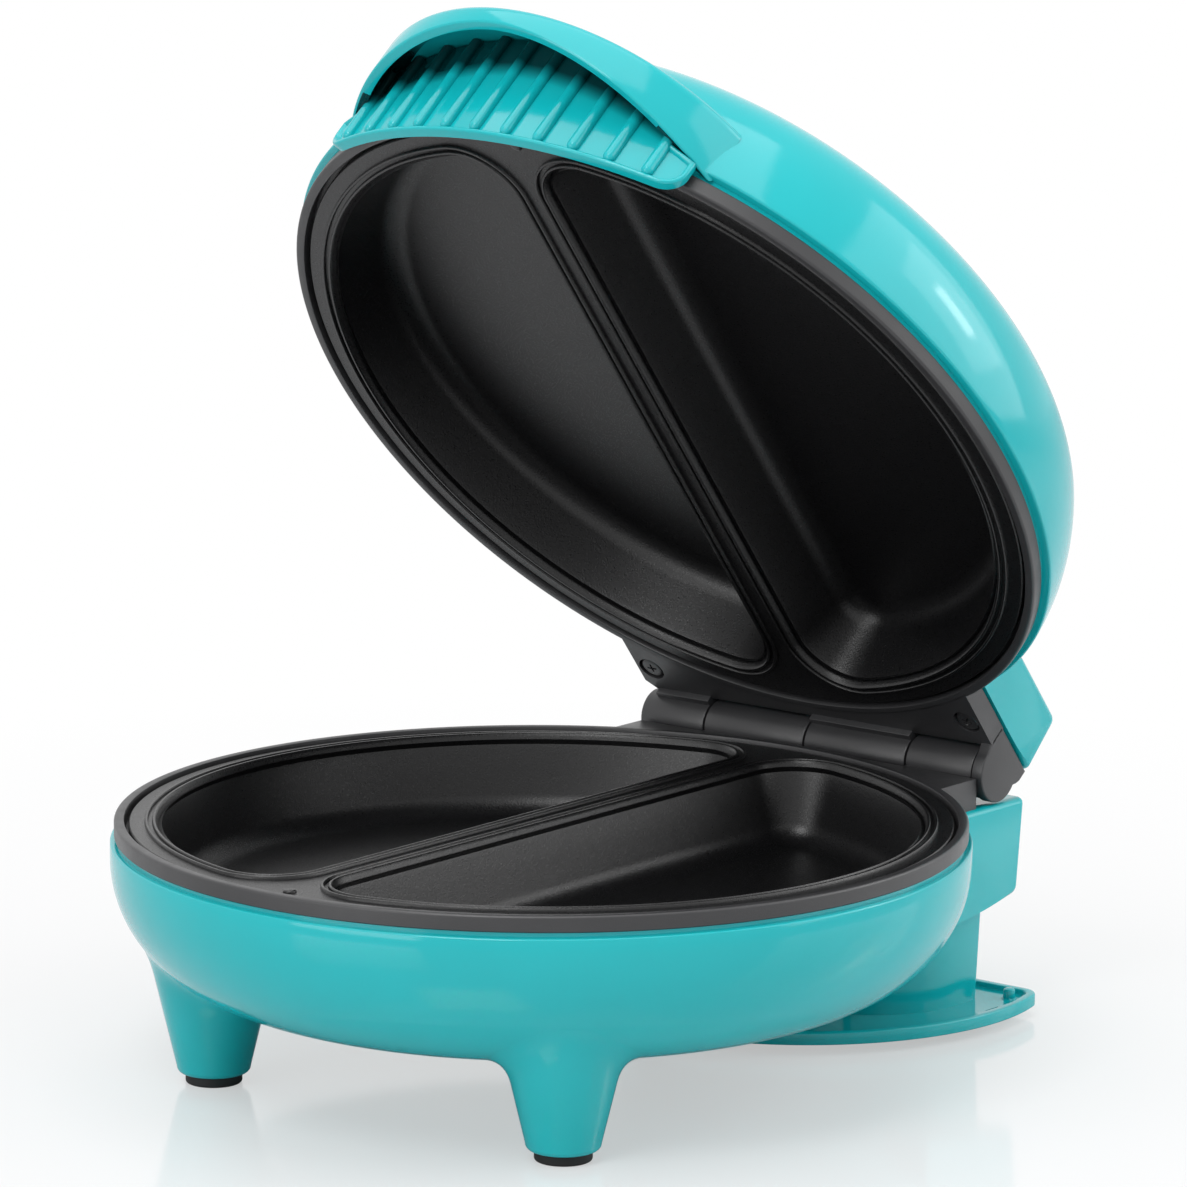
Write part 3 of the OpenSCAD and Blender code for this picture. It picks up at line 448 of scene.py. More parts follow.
class Surface(Nodes):
    """A material's nodes, with a pattern that lies still on the piece"""

    def __init__(self, name):
        self.material = bpy.data.materials.new(name)
        super().__init__(self.material)
        self.shader = self.nodes["Principled BSDF"]
        self.place = self.add("ShaderNodeTexCoord", {}, "Object")

    def shade(self, values):
        self.feed(self.shader, values)

    def noise(self, scale, detail=2.0, roughness=0.5, place=None):
        values = {"Vector": place or self.place, "Scale": scale, "Detail": detail, "Roughness": roughness}
        return self.add("ShaderNodeTexNoise", values, "Fac")

    def span(self, value, low, high, start=0.3, end=0.7):
        values = {"Value": value, "From Min": start, "From Max": end, "To Min": low, "To Max": high}
        return self.add("ShaderNodeMapRange", values, "Result")

    def mix(self, factor, first, second):
        values = {"Factor": factor, "A": first, "B": second}
        return self.add("ShaderNodeMix", values, "Result", data_type="RGBA")

    def tint(self, factor, base, low, high):
        """Colours the surface between two shades of its colour"""
        self.shade({"Base Color": self.mix(factor, (*scaled(base, low), 1), (*scaled(base, high), 1))})

    def clouds(self, base, low, high, scale=45.0):
        self.tint(self.span(self.noise(scale), 0.0, 1.0), base, low, high)

    def paint_shade(self, value, factor):
        """Paints shade: darkens the base colour by a factor where the value is 0"""
        plain = self.shader.inputs["Base Color"].links[0].from_socket
        values = {"Vector": plain, "Scale": factor}
        dark = self.add("ShaderNodeVectorMath", values, "Vector", operation="SCALE")
        self.shade({"Base Color": self.mix(value, dark, plain)})

    def relief(self, value, depth):
        values = {"Strength": 1.0, "Distance": depth, "Height": value}
        self.shade({"Normal": self.add("ShaderNodeBump", values, "Normal")})


def scaled(base, factor):
    return tuple(min(1.0, c * factor) for c in base)


def moulded(name, base, roughness, grain, depth, spread, specular=0.5, metal=0.0):
    """A surface with faint colour clouds, a fine grain and a roughness that varies a little"""
    s = Surface(name)
    s.clouds(base, 1 - spread, 1 + spread)
    s.relief(s.noise(grain, 2.0, 0.6), depth)
    s.shade({"Roughness": s.span(s.noise(160.0, 3.0), *roughness), "Specular IOR Level": specular,
             "Metallic": metal})
    return s


def teal(name):
    return moulded(name, finishes().teal, (0.09, 0.13), 900.0, 0.000006, 0.02, 0.42)


def teal_gloss(name):
    return teal(name).material


def teal_hollow(name):
    """The hood's inside, with painted shade darkening it towards its two ends"""
    s = teal(name)
    aside = s.number("ABSOLUTE", s.add("ShaderNodeSeparateXYZ", {"Vector": s.place}, "X"))
    # Painted shade: the base colour falls to a twentieth of itself beyond about 37 mm from the middle
    s.paint_shade(s.span(aside, 1.0, 0.0, 0.026, 0.037), 0.05)
    return s.material


def teal_recess(name):
    """The grip panel, with painted shade where the hood closes over it, above the arched edge"""
    s = teal(name)
    g = bpy.context.scene.maker_grip
    aside = s.number("ABSOLUTE", s.add("ShaderNodeSeparateXYZ", {"Vector": s.place}, "X"))
    outwards = s.number("POWER", s.number("DIVIDE", aside, g.hood_half), ARCH_POWER)
    fall = s.number("MULTIPLY", outwards, g.arch_middle - g.arch_end)
    up = lid_place().to_3x3() @ Vector((0, 0, 1000.0))
    arch_top = up.dot(lid_place() @ Vector((0, 0, grip().arch_middle)))
    height = s.add("ShaderNodeVectorMath", {0: s.place, 1: up}, "Value", operation="DOT_PRODUCT")
    above = s.number("ADD", s.number("SUBTRACT", height, arch_top), fall)
    # Painted shade: the base colour falls to a tenth of itself from just below to just above the arch
    s.paint_shade(s.span(above, 1.0, 0.0, -0.0015, 0.003), 0.1)
    return s.material


def ring_satin(name):
    return moulded(name, finishes().ring_black, (0.34, 0.42), 3200.0, 0.00004, 0.12, 0.55).material


def rubber_matt(name):
    return moulded(name, finishes().rubber, (0.6, 0.75), 2600.0, 0.00006, 0.15, 0.4).material


def screw_black(name):
    return moulded(name, scaled(finishes().ring_black, 0.8), (0.3, 0.4), 4200.0, 0.00002, 0.1).material


def steel_bright(name):
    return moulded(name, finishes().steel, (0.25, 0.36), 5200.0, 0.00001, 0.05, metal=1.0).material


def sheath_dull(name):
    return moulded(name, finishes().sheath, (0.4, 0.55), 4200.0, 0.00003, 0.12, metal=1.0).material


def control_moulded(name):
    return moulded(name, finishes().control, (0.45, 0.55), 3000.0, 0.00003, 0.1).material


def coating_satin(name):
    """Non-stick coating with lighter specks and a fine orange-peel relief"""
    s = Surface(name)
    s.tint(s.span(s.noise(2600.0, 2.0, 0.7), 0.0, 1.0, 0.45, 0.75), finishes().coating, 0.85, 1.8)
    s.relief(s.noise(2200.0, 3.0, 0.65), 0.00007)
    s.shade({"Roughness": s.span(s.noise(2400.0, 3.0), 0.25, 0.38), "Specular IOR Level": 0.45})
    return s.material


def sheet_rolled(name):
    """Bare sheet metal with the streaks of its rolling along X"""
    s = Surface(name)
    along = s.add("ShaderNodeMapping", {"Vector": s.place, "Scale": (1.0, 22.0, 22.0)}, "Vector")
    streak = s.noise(90.0, 3.0, place=along)
    s.tint(s.span(streak, 0.0, 1.0), finishes().sheet, 0.92, 1.05)
    s.shade({"Roughness": s.span(streak, 0.22, 0.36), "Metallic": 1.0})
    return s.material


def lens(name):
    s = Surface(name)
    s.clouds(finishes().red_lens if name == "lens_red" else finishes().green_lens, 0.9, 1.12, 500.0)
    s.relief(s.noise(1400.0), 0.00001)
    s.shade({"Roughness": 0.08, "Transmission Weight": 0.35})
    return s.material


def lamp_clear(name):
    s = Surface(name)
    s.clouds(finishes().lamp_glass, 0.94, 1.03, 900.0)
    s.shade({"Roughness": 0.05, "Transmission Weight": 0.9})
    return s.material


MATERIALS = {
    "teal_gloss": teal_gloss, "teal_recess": teal_recess, "teal_hollow": teal_hollow,
    "ring_satin": ring_satin, "coating_satin": coating_satin, "rubber_matt": rubber_matt,
    "screw_black": screw_black, "steel_bright": steel_bright, "sheath_dull": sheath_dull,
    "sheet_rolled": sheet_rolled, "control_moulded": control_moulded, "lens_red": lens, "lens_green": lens,
    "lamp_clear": lamp_clear,
}
SLOT_LOOKS = {
    "teal_shell": "teal_gloss", "black_ring": "ring_satin", "coated_plate": "coating_satin",
    "black_rubber": "rubber_matt", "fastener_steel": "steel_bright", "heater_steel": "sheath_dull",
    "reflector_sheet": "sheet_rolled", "control_plastic": "control_moulded", "red_lens": "lens_red",
    "green_lens": "lens_green", "lamp_glass": "lamp_clear",
}


def material(name):
    """A finish, made when it is first asked for"""
    return bpy.data.materials.get(name) or MATERIALS[name](name)


class MAKER_OT_frame_finish(bpy.types.Operator):
    """Gives the parts that are kept from the frame their finishes"""

    bl_idname = "maker.frame_finish"
    bl_label = "Finish the inner parts"

    def execute(self, context):
        for part in frame["record"]["subparts"]:
            looks = frame["nodes"][part["node"]].data.materials
            looks.clear()
            looks.append(material(SLOT_LOOKS[part["material_slot"]]))
        return {"FINISHED"}


# Base
COLUMN_HALF = 49.5
CORD_HEIGHT = 15


def column_rear():
    """Distance of the column's rear face behind the axis"""
    set_in = 11.2
    return hinge().block_rear - set_in


def cord_inlet():
    return Matrix.Translation((0, column_rear(), CORD_HEIGHT)) @ Matrix.Rotation(-math.pi / 2, 4, "X")


def bowl_corner():
    """The bowl's curved corner: the axis distance where it starts, its top, its bottom and its width"""
    b = body()
    side = b.parting_height - b.band_height - b.step_height - b.side_height
    return b.bowl_radius - b.corner_width, side, b.floor_height, b.corner_width


def bowl_point(degrees, inwards):
    start, side, low, width = bowl_corner()
    a = math.radians(degrees)
    return start + (width - inwards) * math.sin(a), side - (side - low - inwards) * math.cos(a)


def underside(radius):
    """Height of the bowl's outside at a distance from the axis"""
    start, side, low, width = bowl_corner()
    t = max(0.0, (radius - start) / width)
    return side - (side - low) * math.sqrt(max(0.0, 1 - t * t))


def bowl_core():
    """A body that ends inside the bowl's wall, to cut away what reaches into the bowl"""
    b = body()
    half = b.wall / 2
    curve = [bowl_point(3.75 * i, half) for i in range(25)]
    return turn("bowl_core", [(0, b.floor_height + half)] + curve
                + [(b.bowl_radius - half, b.parting_height), (0, b.parting_height)], 120)


def leg(name, side):
    """A tapered leg whose top sweeps out into the underside of the bowl"""
    b = body()
    foot, low = b.leg_radius, b.foot_height
    cx, cy = side * b.leg_spread, -b.leg_forward
    edge_radius, slope, reach = 1.7, 0.24, 18.6
    straight_rows, sweep_rows = 7, 9
    inner_radii = (16.6, 12.0, 6.0, 0.0)
    cone_start = low + edge_radius
    edge = arc((foot - edge_radius, cone_start), edge_radius, -80, 0, 7)
    rows = straight_rows + sweep_rows + len(inner_radii)
    first = low + 2
    row_at = {round(first + i, 3): i for i in range(rows)}
    profile = [(0.0, low), (foot - 2.0, low)] + edge + [(foot + 0.1 * i, first + i) for i in range(rows)]
    piece = turn(name, profile, 72)

    def cone(z):
        return foot + slope * (z - cone_start)

    def row_point(row, angle):
        """Radius and height of a row, which end on the bowl in this direction"""
        def skin(s):
            return underside(math.hypot(cx + s * math.cos(angle), cy + s * math.sin(angle)))

        end = (reach, skin(reach) + 0.06)
        grade = (skin(reach + 0.2) - skin(reach - 0.2)) / 0.4
        knee = (end[1] + grade * (foot - slope * cone_start - reach)) / (1 - grade * slope)
        start = max(knee - 5.5, cone_start + 6)
        if row < straight_rows:
            z = cone_start + (start - cone_start) * (row + 1) / straight_rows
            return cone(z), z
        row -= straight_rows
        if row < sweep_rows:
            t = (row + 1) / sweep_rows
            bezier = zip((cone(start), start), (cone(knee), knee), end)
            return [(1 - t) ** 2 * p + 2 * t * (1 - t) * q + t * t * r for p, q, r in bezier]
        s = inner_radii[row - sweep_rows]
        return s, skin(s) + 1.2

    def move(co):
        row = row_at.get(round(co.z, 3))
        angle = math.atan2(co.y, co.x)
        if row is None or math.hypot(co.x, co.y) < 1e-6:
            return Vector((co.x + cx, co.y + cy, co.z))
        r, z = row_point(row, angle)
        return Vector((cx + r * math.cos(angle), cy + r * math.sin(angle), z))

    shift(piece, move)
    return piece


def bowl_shell():
    """The bowl, with the seat of the lower ring inside its rim"""
    b = body()
    radius, ring, wall = b.bowl_radius, b.ring_radius, b.wall
    band = b.parting_height - b.band_height
    rim = band - b.step_height
    outer = [bowl_point(2.5 * i, 0) for i in range(37)]
    inner = [bowl_point(7.5 * i, wall) for i in range(13)]
    edge = arc((radius - 0.6, rim - 0.6), 0.6, 15, 90, 4)
    seat = [(ring - 0.6, rim), (ring - 0.6, band), (ring - 1.9, band), (ring - 1.9, rim - 2.4),
            (radius - wall, rim - 3.6)]
    section = [(0, b.floor_height)] + outer + edge + seat + inner[::-1] + [(0, b.floor_height + wall)]
    return turn("base_housing", section, 180)


def block_top():
    below_ring = 9.0
    return body().parting_height - below_ring


def rear_block():
    """The base's block under the hinge"""
    front, low, top = 84, 25.5, block_top()
    rear, half = hinge().block_rear, hinge().block_half
    side = [(front, top), (front, low), (100, 27.6), (rear - 2.6, 30), (rear, top)]
    block = across("rear_block", side, -half, half)
    soften_rear(block)
    soften(block, 4.5, 7, lambda e: sharp(e, 30) and most(e, Z) < 32 and least(e, Y) > 114)
    soften(block, 1.6, 4, lambda e: sharp(e, 30) and least(e, Z) > top - 0.5)
    soften(block, 0.6, 2, lambda e: sharp(e, 40) and most(e, Z) < top - 2)
    return block


def cord_column():
    """The column that the cord is wound round, a little narrower at its foot"""
    low, high, deep = 4.3, 33, 36
    x, y = COLUMN_HALF, column_rear()
    plan = rounded([(-x, y - deep, 26), (x, y - deep, 26), (x, y, 3), (-x, y, 3)], 10)
    column = upright("column", plan, low, 30)
    shift(column, lambda co: Vector((co.x * 0.989, co.y - 0.5, low)) if co.z < 5 else
          Vector((co.x * 1.0085, co.y + 0.4, high)))
    return column


class MAKER_OT_base_housing(bpy.types.Operator):
    """Models the bowl with its legs, rear block and cord-wrap column"""

    bl_idname = "maker.base_housing"
    bl_label = "Base housing"

    def execute(self, context):
        bowl = bowl_shell()
        for tool in (rear_block(), cord_column()):
            carve(tool, bowl_core())
            carve(bowl, tool, "UNION")
        carve_box(bowl, (0, 115, block_top() + 10), (2 * hinge().block_half + 0.4, 60, 20))
        wall, bore, relief, depth = body().wall, 5, 8, 14
        steps = [(0, -depth), (relief, -depth), (relief, -wall), (bore, -wall), (bore, 1), (0, 1)]
        hole = turn("cord_hole", steps, 48)
        place(hole, cord_inlet())
        carve(bowl, hole)
        join(bowl, [leg("leg_right", 1), leg("leg_left", -1)])
        finish(bowl, "base_housing_shell", "base", "teal_shell", "base_housing", 30)
        return {"FINISHED"}


class MAKER_OT_feet(bpy.types.Operator):
    """Models the four rubber feet"""

    bl_idname = "maker.feet"
    bl_label = "Feet"

    def execute(self, context):
        b = body()
        r, high = b.foot_radius, b.foot_height
        rear_spread, rear_back = 40, 97.3
        section = ([(0, 0.35), (r - 2.4, 0.35), (r - 2.0, 0)] + arc((r - 0.7, 0.7), 0.7, -90, 0, 5)
                   + arc((r - 0.3, high - 0.3), 0.3, 0, 90, 3) + [(0, high)])
        pad = turn("foot_pad", section, 64)
        for end, spread, y in (("front", b.leg_spread, -b.leg_forward), ("rear", rear_spread, rear_back)):
            for side, x in (("right", spread), ("left", -spread)):
                name = end + "_foot_" + side
                foot = copy(pad, name)
                place(foot, Matrix.Translation((x, y, 0)))
                finish(foot, name, "base", "black_rubber", end + "_feet")
        bpy.data.objects.remove(pad)
        return {"FINISHED"}


class MAKER_OT_wrap_plate(bpy.types.Operator):
    """Models the cord-wrap plate with its rim, stops and slits"""

    bl_idname = "maker.wrap_plate"
    bl_label = "Cord-wrap plate"

    def execute(self, context):
        rear = hinge().block_rear
        centre = rear - 22.5
        radius, corner, tail = 63.0, 6.0, 22.0
        low, high, rim, recess = 2.5, 5.7, 2.4, 1.4
        cy = tail - corner
        cx = math.sqrt((radius - corner) ** 2 - cy ** 2)
        a = math.degrees(math.atan2(cy, cx))
        outline = (arc((0, centre), radius, 180 - a, 360 + a, 90)
                   + arc((cx, centre + cy), corner, a, 90, 10)[1:]
                   + arc((-cx, centre + cy), corner, 90, 180 - a, 10)[:-1])
        wrap = upright("wrap_plate", outline, low, high)
        edit(wrap, "FACE")
        pick(wrap, "FACE", lambda f: f.normal.z > 0.9)
        bpy.ops.mesh.inset(thickness=rim, depth=0, use_even_offset=True)
        bpy.ops.mesh.extrude_region_move(TRANSFORM_OT_translate={"value": (0, 0, -recess)})
        mend()
        soften(wrap, 0.45, 3, lambda e: sharp(e, 60) and extent(e, Z) < 0.01)
        post = [(0, 3.4), (1.9, 3.4), (1.9, 4.3), (1.55, 4.6), (1.5, 6.4), (1.3, 6.8), (0.9, 7.0), (0, 7.05)]
        stops = []
        for side in (-1, 1):
            stop = turn("cord_stop", post, 32)
            place(stop, Matrix.Translation((side * 55.0, rear - 7.7, 0)))
            stops.append(stop)
            carve_box(wrap, (side * 58.0, rear - 18.5, 4), (1.2, 5, 8))
        join(wrap, stops)
        finish(wrap, "cord_wrap_tray", "base", "teal_shell", "cord_wrap_plate", 35)
        return {"FINISHED"}


# Lights in the lid
LIGHT_SIDE = 12
LIGHT_FRONT = 60


class MAKER_OT_small_parts(bpy.types.Operator):
    """Models the cord bush and the two indicator lenses"""

    bl_idname = "maker.small_parts"
    bl_label = "Bush and lenses"

    def execute(self, context):
        bore = 3.4
        rings = ((0, -4.6), (2.5, -4.6), (3, -4.1), (3, -2.6), (1.6, -2.6), (1.6, 0), (3, 0), (3, 1.0),
                 (2.6, 1.6), (2, 2.0), (0.5, 2.0), (0, 1.5))
        bush = turn("cord_bush", [(bore + r, h) for r, h in rings], 64, True)
        place(bush, cord_inlet())
        finish(bush, "cord_bush_rubber", "base", "black_rubber", "cord_bush")
        proud = 0.3
        crown = dome_parts()[2]
        spot = math.hypot(LIGHT_SIDE, LIGHT_FRONT)
        top = crown[1] + math.sqrt(CROWN_RADIUS ** 2 - (spot - crown[0]) ** 2) + proud
        cap = ((0, 0.05), (2.4, 0), (3.6, -0.06), (3.9, -0.25), (4.0, -0.55), (4.0, -3.4), (5.0, -3.6),
               (5.0, -5.5), (3.0, -5.5), (3.0, -1.3), (0, -1.3))
        for x, name, tint in ((-LIGHT_SIDE, "power", "red"), (LIGHT_SIDE, "ready", "green")):
            light = turn(name + "_light", [(r, top + h) for r, h in cap], 48)
            place(light, Matrix.Translation((x, -LIGHT_FRONT, 0)))
            finish(light, name + "_light", "lid", tint + "_lens", name + "_lens")
        return {"FINISHED"}


# Rings and hinge
SCREW_SIDE = 49.3
PIN_GAP = 0.5


def flange_rear():
    """Where the flanges end, just before the knuckles"""
    return hinge_y() - hinge().knuckle_radius - PIN_GAP


def screw_spot(side, height):
    in_front = 8.2
    return side * SCREW_SIDE, flange_rear() - in_front, height


def ring_section():
    """A ring's section, its face at 0 and its back upwards"""
    r, band = body().ring_radius, body().band_height
    face_in, seat, wall_in, foot = 99.55, 99.9, 97.9, 95.2
    return ([(face_in, 0.35), (face_in + 0.1, 0.1), (face_in + 0.35, 0)]
            + arc((r - 0.7, 0.7), 0.7, -90, 0, 5) + [(r, band - 0.25), (r - 0.25, band), (seat, band)]
            + [(seat, 12.2), (wall_in, 12.2), (wall_in, 6.3), (foot, 6.3), (foot, 3.8), (face_in, 3.8)])


def flange(name, half, low, high, rear, cut=0.0):
    """The hinge flange, which fills the corners between the ring and the hinge"""
    r = 101.0
    start = math.degrees(math.acos(half / r))
    corner = [(cut - half, rear), (-half, rear - cut)] if cut else [(-half, rear)]
    outline = [(half, rear)] + corner + arc((0, 0), r, 180 - start, start, 40)
    piece = upright(name, outline, low, high)
    soften(piece, 0.45, 2, lambda e: sharp(e, 50) and least(e, Y) > rear - 1)
    return piece


def knuckle(left, right, height):
    """A tube of the hinge, with rounded ends"""
    radius = hinge().knuckle_radius
    end = ((0, -radius), (0, -0.5), (0.15, -0.15), (0.5, 0))
    line = [(left + x, hinge_y() + radius + y, height) for x, y in end]
    line += [(right - x, hinge_y() + radius + y, height) for x, y in end[::-1]]
    piece = draw("knuckle", line)
    bpy.ops.mesh.spin(steps=56, angle=math.tau, use_auto_merge=True, center=(0, hinge_y(), height),
                      axis=(1, 0, 0))
    mend()
    clear()
    return piece


def web(left, right, low, high):
    """The web that ties a knuckle to its flange"""
    front, pin = flange_rear() - 1.0, hinge_y()
    piece = across("web", [(front, low), (pin, low), (pin, high), (front, high)], left, right)
    soften(piece, 0.35, 2, lambda e: sharp(e, 50))
    return piece


class MAKER_OT_rings(bpy.types.Operator):
    """Models the two black rings with their flanges and hinge knuckles"""

    bl_idname = "maker.rings"
    bl_label = "Rings and hinge"

    def execute(self, context):
        b, h = body(), hinge()
        radius, half, thick, cut = h.knuckle_radius, h.half_width, h.flange_thickness, h.corner_cut
        rear = flange_rear()
        seams, gap = (-33.5, -1.9, 29.7, half - 3.5), 0.2
        lower = turn("lower_ring", [(r, b.parting_height - d) for r, d in ring_section()], 240, True)
        extra = [flange("lower_flange", half - 1.2, 54.2, b.parting_height - 1.4, rear - 0.2)]
        for left, right in (seams[:2], seams[2:]):
            left, right = left + gap, right - gap
            extra += [knuckle(left, right, pin_z), web(left, right, pin_z - 5.5, pin_z - 0.2)]
        join(lower, extra)
        finish(lower, "lower_ring", "base", "black_ring", "lower_frame", 28)
        upper = turn("upper_ring", ring_section(), 240, True)
        z = pin_z - lid_height()
        lid_flange = flange("upper_flange", half, 0.0, thick, rear, cut)
        well_radius, well_depth = 3.6, 3.0
        for side in (-1, 1):
            carve_round(lid_flange, screw_spot(side, 0.5), well_radius, well_depth)
        extra = [lid_flange]
        for left, right, start in ((-half, seams[0] - gap, cut), (seams[1] + gap, seams[2] - gap, 0)):
            extra += [knuckle(left, right, z), web(left + start, right, z + 0.4, z + 6.4)]
        y = hinge_y()
        outline = arc((y, z), radius + 0.5, 180, 378, 30) + [
            (y + radius + 0.9, z + 3.4), (y + 8.2, z + 4.8), (y + 8.2, thick), (y - radius - 1.5, thick),
            (y - radius - 1.5, z + 2.2)]
        arm = across("arm", outline, half - h.arm_thickness, half)
        soften(arm, 0.5, 3, lambda e: sharp(e, 60) and extent(e, X) < 0.01 and most(e, Y) > rear)
        join(upper, extra + [arm])
        finish(upper, "upper_ring", "lid", "black_ring", "upper_frame", 28)
        return {"FINISHED"}


class MAKER_OT_flange_screws(bpy.types.Operator):
    """Models the two cross-head screws in the lid's flange"""

    bl_idname = "maker.flange_screws"
    bl_label = "Flange screws"

    def execute(self, context):
        r = hinge().screw_radius
        section = ([(0, 0), (0.6 * r, 0.06)] + arc((r - 0.8, 0.9), 0.8, -80, 0, 5)
                   + [(r, 1.8), (1.5, 1.9), (1.5, 12), (0, 13)])
        head = turn("screw_head", section, 48)
        for degrees in (28, 118):
            clear()
            bpy.ops.mesh.primitive_cube_add(size=1, location=(0, 0, 0))
            wing = bpy.context.object
            edit(wing)
            bpy.ops.mesh.select_all(action="SELECT")
            bpy.ops.transform.resize(value=(0.75, r * 1.15, 2.0), center_override=(0, 0, 0))
            pick(wing, "FACE", lambda f: f.normal.z > 0.9)
            bpy.ops.transform.resize(value=(0.55, 0.55, 1), center_override=(0, 0, 1))
            place(wing, Matrix.Rotation(math.radians(degrees), 4, "Z"))
            carve(head, wing)
        for side, name in ((-1, "flange_screw_left"), (1, "flange_screw_right")):
            screw = copy(head, name)
            place(screw, Matrix.Translation(screw_spot(side, 0.2)) @ Matrix.Rotation(0.5 + side, 4, "Z"))
            finish(screw, name, "lid", "fastener_steel", "flange_screws", look="screw_black")
        bpy.data.objects.remove(head)
        return {"FINISHED"}


# Cooking plates
def pocket_outline(offset):
    """The outline of the right pocket, moved outwards by an offset"""
    p = plate()
    corner = p.pocket_corner
    x = p.divider_half + corner
    y = math.sqrt((p.pocket_radius - corner) ** 2 - x * x)
    a = math.degrees(math.atan2(y, x))
    return (arc((0, 0), p.pocket_radius + offset, -a, a, 84) + arc((x, y), corner + offset, a, 180, 20)[1:]
            + arc((x, -y), corner + offset, 180, 360 - a, 20)[:-1])


def pocket_steps():
    """The insets, each a width and a rise, that raise two lips and sink the pocket inside them"""
    p = plate()
    bevel, foot, drop = 0.13, 0.12, 0.12
    rise = p.lip_height - drop
    lip = [(foot, rise), (bevel, drop), (p.lip_width - 0.5, 0.0), (bevel, -drop)]
    steps = lip + [(foot, -rise), (p.lip_width, 0.0)] + lip
    depth, lean, fillet = p.pocket_depth, p.pocket_lean, p.pocket_fillet
    tilt = math.atan2(lean, depth)
    bend = depth - fillet * (1 - math.sin(tilt))
    bend_in = lean * bend / depth + fillet * math.cos(tilt)
    rings = [(d, lean * d / depth) for d in (0.8, 4, 9, bend)]
    for i in range(1, 13):
        a = tilt + (math.pi / 2 - tilt) * i / 12
        rings.append((depth - fillet + fillet * math.sin(a), bend_in - fillet * math.cos(a)))
    deep, inwards = foot, -drop
    for d, o in rings:
        steps.append((o - inwards, deep - d))
        deep, inwards = d, o
    return steps


def face_down(piece):
    """Turns the faces of the sheet that is being edited towards -Z"""
    if sum(f.normal.z * f.calc_area() for f in bmesh.from_edit_mesh(piece.data).faces) > 0:
        bpy.ops.mesh.flip_normals()


def cooking_plate():
    """One cooking plate, its face towards -Z, from a filled outline that is inset step by step"""
    p = plate()
    edge, edge_round, skirt = p.plate_radius, 0.3, 2.6
    margin = 3 * p.lip_width
    outer = arc((0, 0), edge - edge_round, -90, 90, 90)
    piece = draw("cooking_plate", [(x, y, p.lip_height) for x, y in outer], True)
    bpy.ops.mesh.select_all(action="DESELECT")
    bpy.ops.mesh.primitive_plane_add(size=1, location=(0, 0, 0))
    trace([(x, y, p.lip_height) for x, y in pocket_outline(margin)], True)
    bpy.ops.mesh.select_all(action="SELECT")
    bpy.ops.mesh.remove_doubles(threshold=0.0005)
    bpy.ops.mesh.fill(use_beauty=True)

    def on_pocket(v):
        return v.co.x > 1.0 and math.hypot(v.co.x, v.co.y) < p.pocket_radius + margin + 0.01

    pick(piece, "EDGE", lambda e: len(e.link_faces) == 1 and all(on_pocket(v) for v in e.verts))
    bpy.ops.mesh.edge_face_add()
    mend()
    face_down(piece)
    pick(piece, "FACE", lambda f: len(f.verts) > 40)
    for width, rise in pocket_steps():
        bpy.ops.mesh.inset(thickness=width, depth=rise, use_even_offset=True, use_boundary=True)
    modify(piece, "MIRROR", use_clip=False, merge_threshold=0.001)
    edit(piece, "EDGE")
    pick(piece, "EDGE", lambda e: len(e.link_faces) == 1)
    bpy.ops.mesh.extrude_edges_move(TRANSFORM_OT_translate={"value": (0, 0, edge_round)})
    widen = edge / (edge - edge_round)
    bpy.ops.transform.resize(value=(widen, widen, 1), center_override=(0, 0, 0))
    bpy.ops.mesh.extrude_edges_move(TRANSFORM_OT_translate={"value": (0, 0, skirt)})
    mend(0.001)
    face_down(piece)
    modify(piece, "SOLIDIFY", thickness=p.plate_wall, offset=-1, use_even_offset=False)
    return piece


def nub():
    """The small round nub at the front end of the divider"""
    face, radius, corner, high = plate().lip_height, 1.6, 0.5, 0.65
    edge = arc((radius - corner, face - high + 0.05 + corner), corner, 0, -90, 5)
    piece = turn("nub", [(0, face + 0.4), (radius, face + 0.4)] + edge + [(0, face - high)], 32)
    place(piece, Matrix.Translation((3.5, -95.3, 0)))
    return piece


class MAKER_OT_plates(bpy.types.Operator):
    """Models the two cooking plates with their lipped pockets"""

    bl_idname = "maker.plates"
    bl_label = "Cooking plates"

    def execute(self, context):
        lower = cooking_plate()
        join(lower, [nub()])
        upper = copy(lower, "upper_plate")
        place(lower, Matrix.Translation((0, 0, body().parting_height)) @ Matrix.Scale(-1, 4, (0, 0, 1)))
        edit(lower)
        mend(0.0001)
        finish(lower, "lower_cooking_plate", "base", "coated_plate", "lower_plate", 40)
        finish(upper, "upper_cooking_plate", "lid", "coated_plate", "upper_plate", 40)
        return {"FINISHED"}


# Lid
SIDE_RADIUS = 50.0
SHOULDER_RADIUS = 23.5
CROWN_RADIUS = 900.0
SHOULDER_START = 27
CROWN_START = 84
HOOD_EDGE_RADIUS = 3.0
HOOD_TOP_RADIUS = 111.0
HOOD_SLOPE = 32
ARCH_POWER = 1.7


def beyond(centre, distance, degrees):
    return (centre[0] + distance * math.cos(math.radians(degrees)),
            centre[1] + distance * math.sin(math.radians(degrees)))


def dome_parts():
    """Centres of the arcs of the dome's side, shoulder and crown"""
    side = (body().lid_radius - SIDE_RADIUS, 5.0)
    shoulder = beyond(side, SIDE_RADIUS - SHOULDER_RADIUS, SHOULDER_START)
    return side, shoulder, beyond(shoulder, SHOULDER_RADIUS - CROWN_RADIUS, CROWN_START)


def dome_side(inwards, steps, start=0.0):
    """The dome's section from its edge to the axis"""
    side, shoulder, crown = dome_parts()
    top = math.degrees(math.acos(-crown[0] / (CROWN_RADIUS - inwards)))
    section = (arc(side, SIDE_RADIUS - inwards, start, SHOULDER_START, steps[0])
               + arc(shoulder, SHOULDER_RADIUS - inwards, SHOULDER_START, CROWN_START, steps[1])[1:]
               + arc(crown, CROWN_RADIUS - inwards, CROWN_START, top, steps[2])[1:])
    return section[:-1] + [(0, section[-1][1])]


